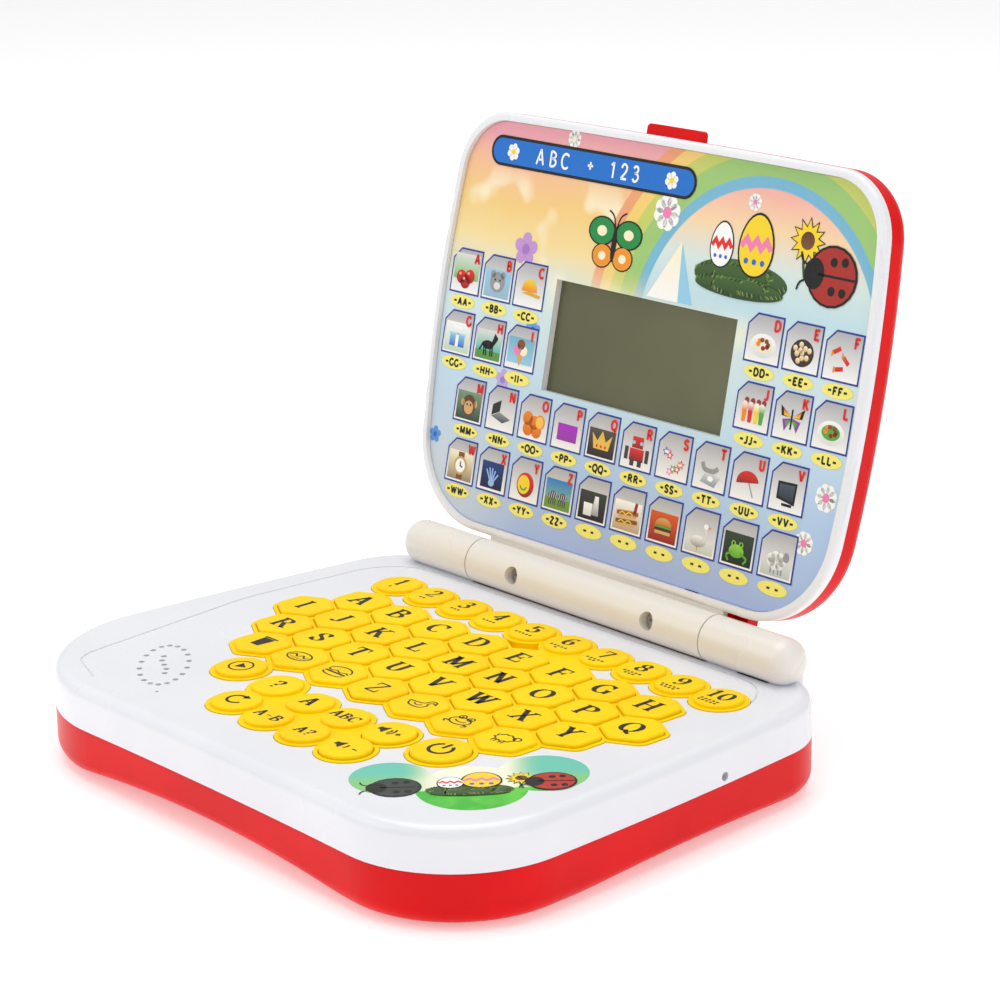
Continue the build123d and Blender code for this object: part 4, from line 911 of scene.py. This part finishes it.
def draw_decal():
    """The printing on the deck's corner decal."""
    draw = Print(DECAL)
    ladybird(draw, -19.8, 1.4, 6.6, srgb(60, 64, 62), 1)
    nest(draw, -0.5, -1.4, 11.5, 4.0, 1)
    egg(draw, -5.5, 3.2, 3.3, 3.6, WHITE, RED, 4)
    egg(draw, 2.6, 4.4, 5.0, 5.0, YELLOW, PINK, 4)
    nest(draw, -0.5, -3.2, 10.5, 2.4, 8)
    sunflower(draw, 13.0, 5.5, 3.9, 3)
    ladybird(draw, 21.0, 2.8, 6.2, srgb(186, 50, 40), 8)
    draw.piece("decal_artwork", "base")


draw_lid()
draw_decal()


# ---- legends on the keys
LEGEND = 7.0                # height of a letter on its key
LEGEND_INK = srgb(14, 10, 4)
ICON_PEN = 1.5              # how much bolder the icons' lines are drawn


def icon(draw, name):
    """A line drawing on a key, about 10 across, round the middle."""
    oval, fill, ink = draw.oval, draw.fill, LEGEND_INK

    def line(points, width, ink):
        draw.line(points, width * ICON_PEN, ink)

    if name == "power":
        line(arc(0, 0, 3.4, 3.4, 120, 420, 24), 0.7, ink)
        line([(0, 0.4), (0, 4.2)], 0.7, ink)
    elif name in ("volume_up", "volume_down"):
        fill([(-4.2, -0.9), (-3.0, -0.9), (-1.2, -2.2), (-1.2, 2.2), (-3.0, 0.9), (-4.2, 0.9)], ink)
        for radius in ((1.4, 2.6) if name == "volume_up" else (1.4,)):
            line(arc(-0.9, 0, radius, radius, -50, 50, 8), 0.45, ink)
        draw.write("+" if name == "volume_up" else "-", 3.6, -1.8, 3.6, ink, weight=0.16)
    elif name == "play":
        line(arc(0, 0, 3.6, 3.6, 0, 360, 28), 0.4, ink)
        fill([(-1.2, -1.9), (-1.2, 1.9), (2.2, 0)], ink)
    elif name == "again":
        line(arc(0, 0, 2.8, 2.8, 60, 340, 20), 0.6, ink)
        fill([(0.4, 3.9), (0.6, 1.3), (2.8, 2.9)], ink)
    elif name == "cup":
        fill([(-2.4, 3), (2.4, 3), (1.8, -3.2), (-1.8, -3.2)], ink)
        line([(-2.9, 3.6), (2.9, 3.6)], 0.5, ink)
    elif name == "hotdog":
        line(arc(0, 0, 4.6, 2.9, 0, 360, 28), 0.35, ink)
        sauce = [(-3.9, -0.4), (-2.4, 0.9), (-0.8, -0.4), (0.8, 0.9), (2.4, -0.4), (3.9, 0.6)]
        line(smooth(sauce), 0.4, ink)
        for i in range(-3, 4):
            line([(i * 1.1, -2.3 + 0.12 * i * i), (i * 1.1 + 0.4, -1.0)], 0.22, ink)
    elif name == "burger":
        line(arc(0, 0.6, 4.4, 3.0, 0, 180, 18), 0.35, ink)
        leaf = [(-4.6, 0.5), (-2.8, -0.3), (-1.0, 0.5), (1.0, -0.3), (2.8, 0.5), (4.6, -0.2)]
        line(smooth(leaf), 0.35, ink)
        line([(-4.4, -1.1), (4.4, -1.1)], 0.55, ink)
        line([(-4.2, -1.9)] + arc(0, -1.9, 4.2, 1.5, 180, 360, 14), 0.35, ink)
        for x, y in ((-1.8, 2.1), (0, 2.7), (1.8, 2.1), (0.9, 1.5), (-0.9, 1.5)):
            oval(x, y, 0.22, 0.16, ink, 0, 8)
    elif name == "duck":
        line(smooth([(-4.2, 0.6), (-2.4, -1.8), (1.6, -2.0), (3.0, 0.0), (2.2, 1.6), (2.9, 2.9), (4.3, 2.4),
                     (3.3, 3.9), (1.5, 3.6), (0.9, 1.6), (-1.2, 0.9), (-4.2, 0.6)]), 0.35, ink)
        line(smooth([(-1.9, 0.0), (0.0, -0.9), (1.2, 0.2)]), 0.3, ink)
    elif name == "frog":
        line(arc(0, -0.4, 3.6, 2.4, 0, 360, 24), 0.35, ink)
        for side in (-1, 1):
            line(arc(side * 1.7, 2.2, 1.1, 1.1, 0, 360, 14), 0.3, ink)
            oval(side * 1.7, 2.3, 0.4, 0.4, ink, 0, 8)
            line(smooth([(side * 2.6, -2.0), (side * 4.4, -2.2), (side * 3.4, -3.4)]), 0.35, ink)
        line(arc(0, 0.4, 2.2, 1.4, 200, 340, 10), 0.3, ink)
    elif name == "sheep":
        fleece = []
        for i in range(73):
            angle = 2 * math.pi * i / 72
            curl = 1 + 0.1 * math.cos(9 * angle)
            fleece.append((3.2 * math.cos(angle) * curl, 2.2 * math.sin(angle) * curl))
        line(fleece, 0.32, ink)
        line(arc(3.4, 1.5, 1.2, 1.0, 0, 360, 14), 0.32, ink)
        for x in (-1.9, -0.8, 0.9, 2.0):
            line([(x, -2.0), (x, -3.6)], 0.35, ink)


def legend(draw, x, y, label):
    """Prints a key's legend about (x, y)."""
    draw.move_to(x, y)
    if len(label) == 1 and label.isalpha():
        draw.write(label, 0, -LEGEND / 2, LEGEND, LEGEND_INK, serif=True, weight=0.24, stretch=1.08)
    else:
        icon(draw, label)


BODIES = frame["record"]["behaviour"]["bodies"]
KEY_BODIES = {node: body for body, nodes in BODIES.items() for node in nodes}
for node in sorted(NODES):
    if node.startswith("key_"):
        low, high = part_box(node)
        middle = ((low + high) / 2 - KEYPAD) / MM
        sheet = Print(KEY_TOPS)
        label = node.removeprefix("key_")
        legend(sheet, middle.x, middle.y, label.upper() if len(label) == 1 else label)
        sheet.piece(f"legend_{label}", KEY_BODIES[node])

NUMBER_PITCH = 15.5
NUMBER_MIDDLE = (2.0, 33.6)     # middle of the row of numbers, from the middle of the keypad
DOTS_IN_ROW = 5
DOT_PITCH = 1.5
MAT_PICTURES = [(-54, -30, "cup"), (-36, -30, "hotdog"), (-18, -30, "burger"), (18, -30, "duck"),
                (36, -30, "frog"), (54, -30, "sheep"), (-41.5, -47.0, "play"), (-20.4, -64.2, "again")]
MAT_WORDS = [(-22.0, -48.6, "?"), (-4.6, -50.4, "A"), (11.4, -50.6, "ABC"), (-4.0, -65.4, "A-B"),
             (12.2, -65.4, "A?")]
mat_print = Print(KEY_TOPS)
for x, y, label in MAT_PICTURES:
    legend(mat_print, x, y, label)
for x, y, label in MAT_WORDS:
    mat_print.move_to(x, y)
    size = 5.2 if len(label) == 1 else 3.8
    mat_print.write(label, 0, -size / 2, size, LEGEND_INK, serif=True, weight=0.26, stretch=1.05)
for number in range(1, 11):
    mat_print.move_to(NUMBER_MIDDLE[0] + (number - 5.5) * NUMBER_PITCH, NUMBER_MIDDLE[1])
    mat_print.write(str(number), 0, -1.6, 5.6, LEGEND_INK, serif=True, weight=0.24, stretch=1.05)
    for i in range(number):
        row, place = divmod(i, DOTS_IN_ROW)
        in_row = min(number - row * DOTS_IN_ROW, DOTS_IN_ROW)
        across = (place - (in_row - 1) / 2) * DOT_PITCH
        mat_print.oval(across, -3.6 - 1.3 * row, 0.5, 0.5, LEGEND_INK, 0, 10)
mat_print.piece("legend_mat", "base")


# ---- floor, light and camera
CAMERA_AT = (0.6174, -0.5209, 0.3196)
CAMERA_ANGLES = (48.935, 16.762, -1.062)    # azimuth, elevation and roll


def floor():
    data = bpy.data.meshes.new("floor")
    mesh = bmesh.new()
    bmesh.ops.create_grid(mesh, x_segments=2, y_segments=2, size=4.0)
    mesh.to_mesh(data)
    mesh.free()
    made = bpy.data.objects.new("floor", data)
    bpy.context.scene.collection.objects.link(made)
    build = Build("floor_white", Emission_Color=(1, 1, 1, 1), Emission_Strength=0.32)
    tone = build.noise(build.place(), 0.002, 2.0)
    build.set("Base Color", build.mix(tone, srgb(250, 250, 250), srgb(252, 252, 252)))
    build.set("Roughness", tone * 0.1 + 0.4)
    data.materials.append(build.material)


def area_light(name, place, aim, size, power, color=(1, 1, 1)):
    data = bpy.data.lights.new(name, "AREA")
    data.size = size
    data.energy = power
    data.color = color
    lamp = bpy.data.objects.new(name, data)
    lamp.location = place
    lamp.rotation_euler = (Vector(aim) - Vector(place)).to_track_quat("-Z", "Y").to_euler()
    bpy.context.scene.collection.objects.link(lamp)


def camera():
    """Camera at the right front corner of the object, a little above it."""
    azimuth, elevation, roll = (math.radians(a) for a in CAMERA_ANGLES)
    turn = Matrix.Rotation(azimuth, 4, "Z") @ Matrix.Rotation(math.pi / 2 - elevation, 4, "X")
    data = bpy.data.cameras.new("camera")
    data.lens = 106.38
    data.sensor_width = 36.0
    made = bpy.data.objects.new("camera", data)
    made.matrix_world = Matrix.Translation(CAMERA_AT) @ turn @ Matrix.Rotation(roll, 4, "Z")
    bpy.context.scene.collection.objects.link(made)
    bpy.context.scene.camera = made


floor()
area_light("top", (-0.15, 0.1, 1.3), (0, 0, 0.03), 1.2, 10)
area_light("front_left", (-0.7, -1.1, 0.8), (0, 0, 0.06), 0.9, 3)
area_light("right", (1.2, 0.0, 0.7), (0, 0, 0.06), 0.8, 2)
camera()
world = bpy.data.worlds.new("studio")
world.use_nodes = True
world.node_tree.nodes["Background"].inputs[0].default_value = (1, 1, 1, 1)
world.node_tree.nodes["Background"].inputs[1].default_value = 0.56
bpy.context.scene.world = world
bpy.context.scene.view_settings.view_transform = "Standard"
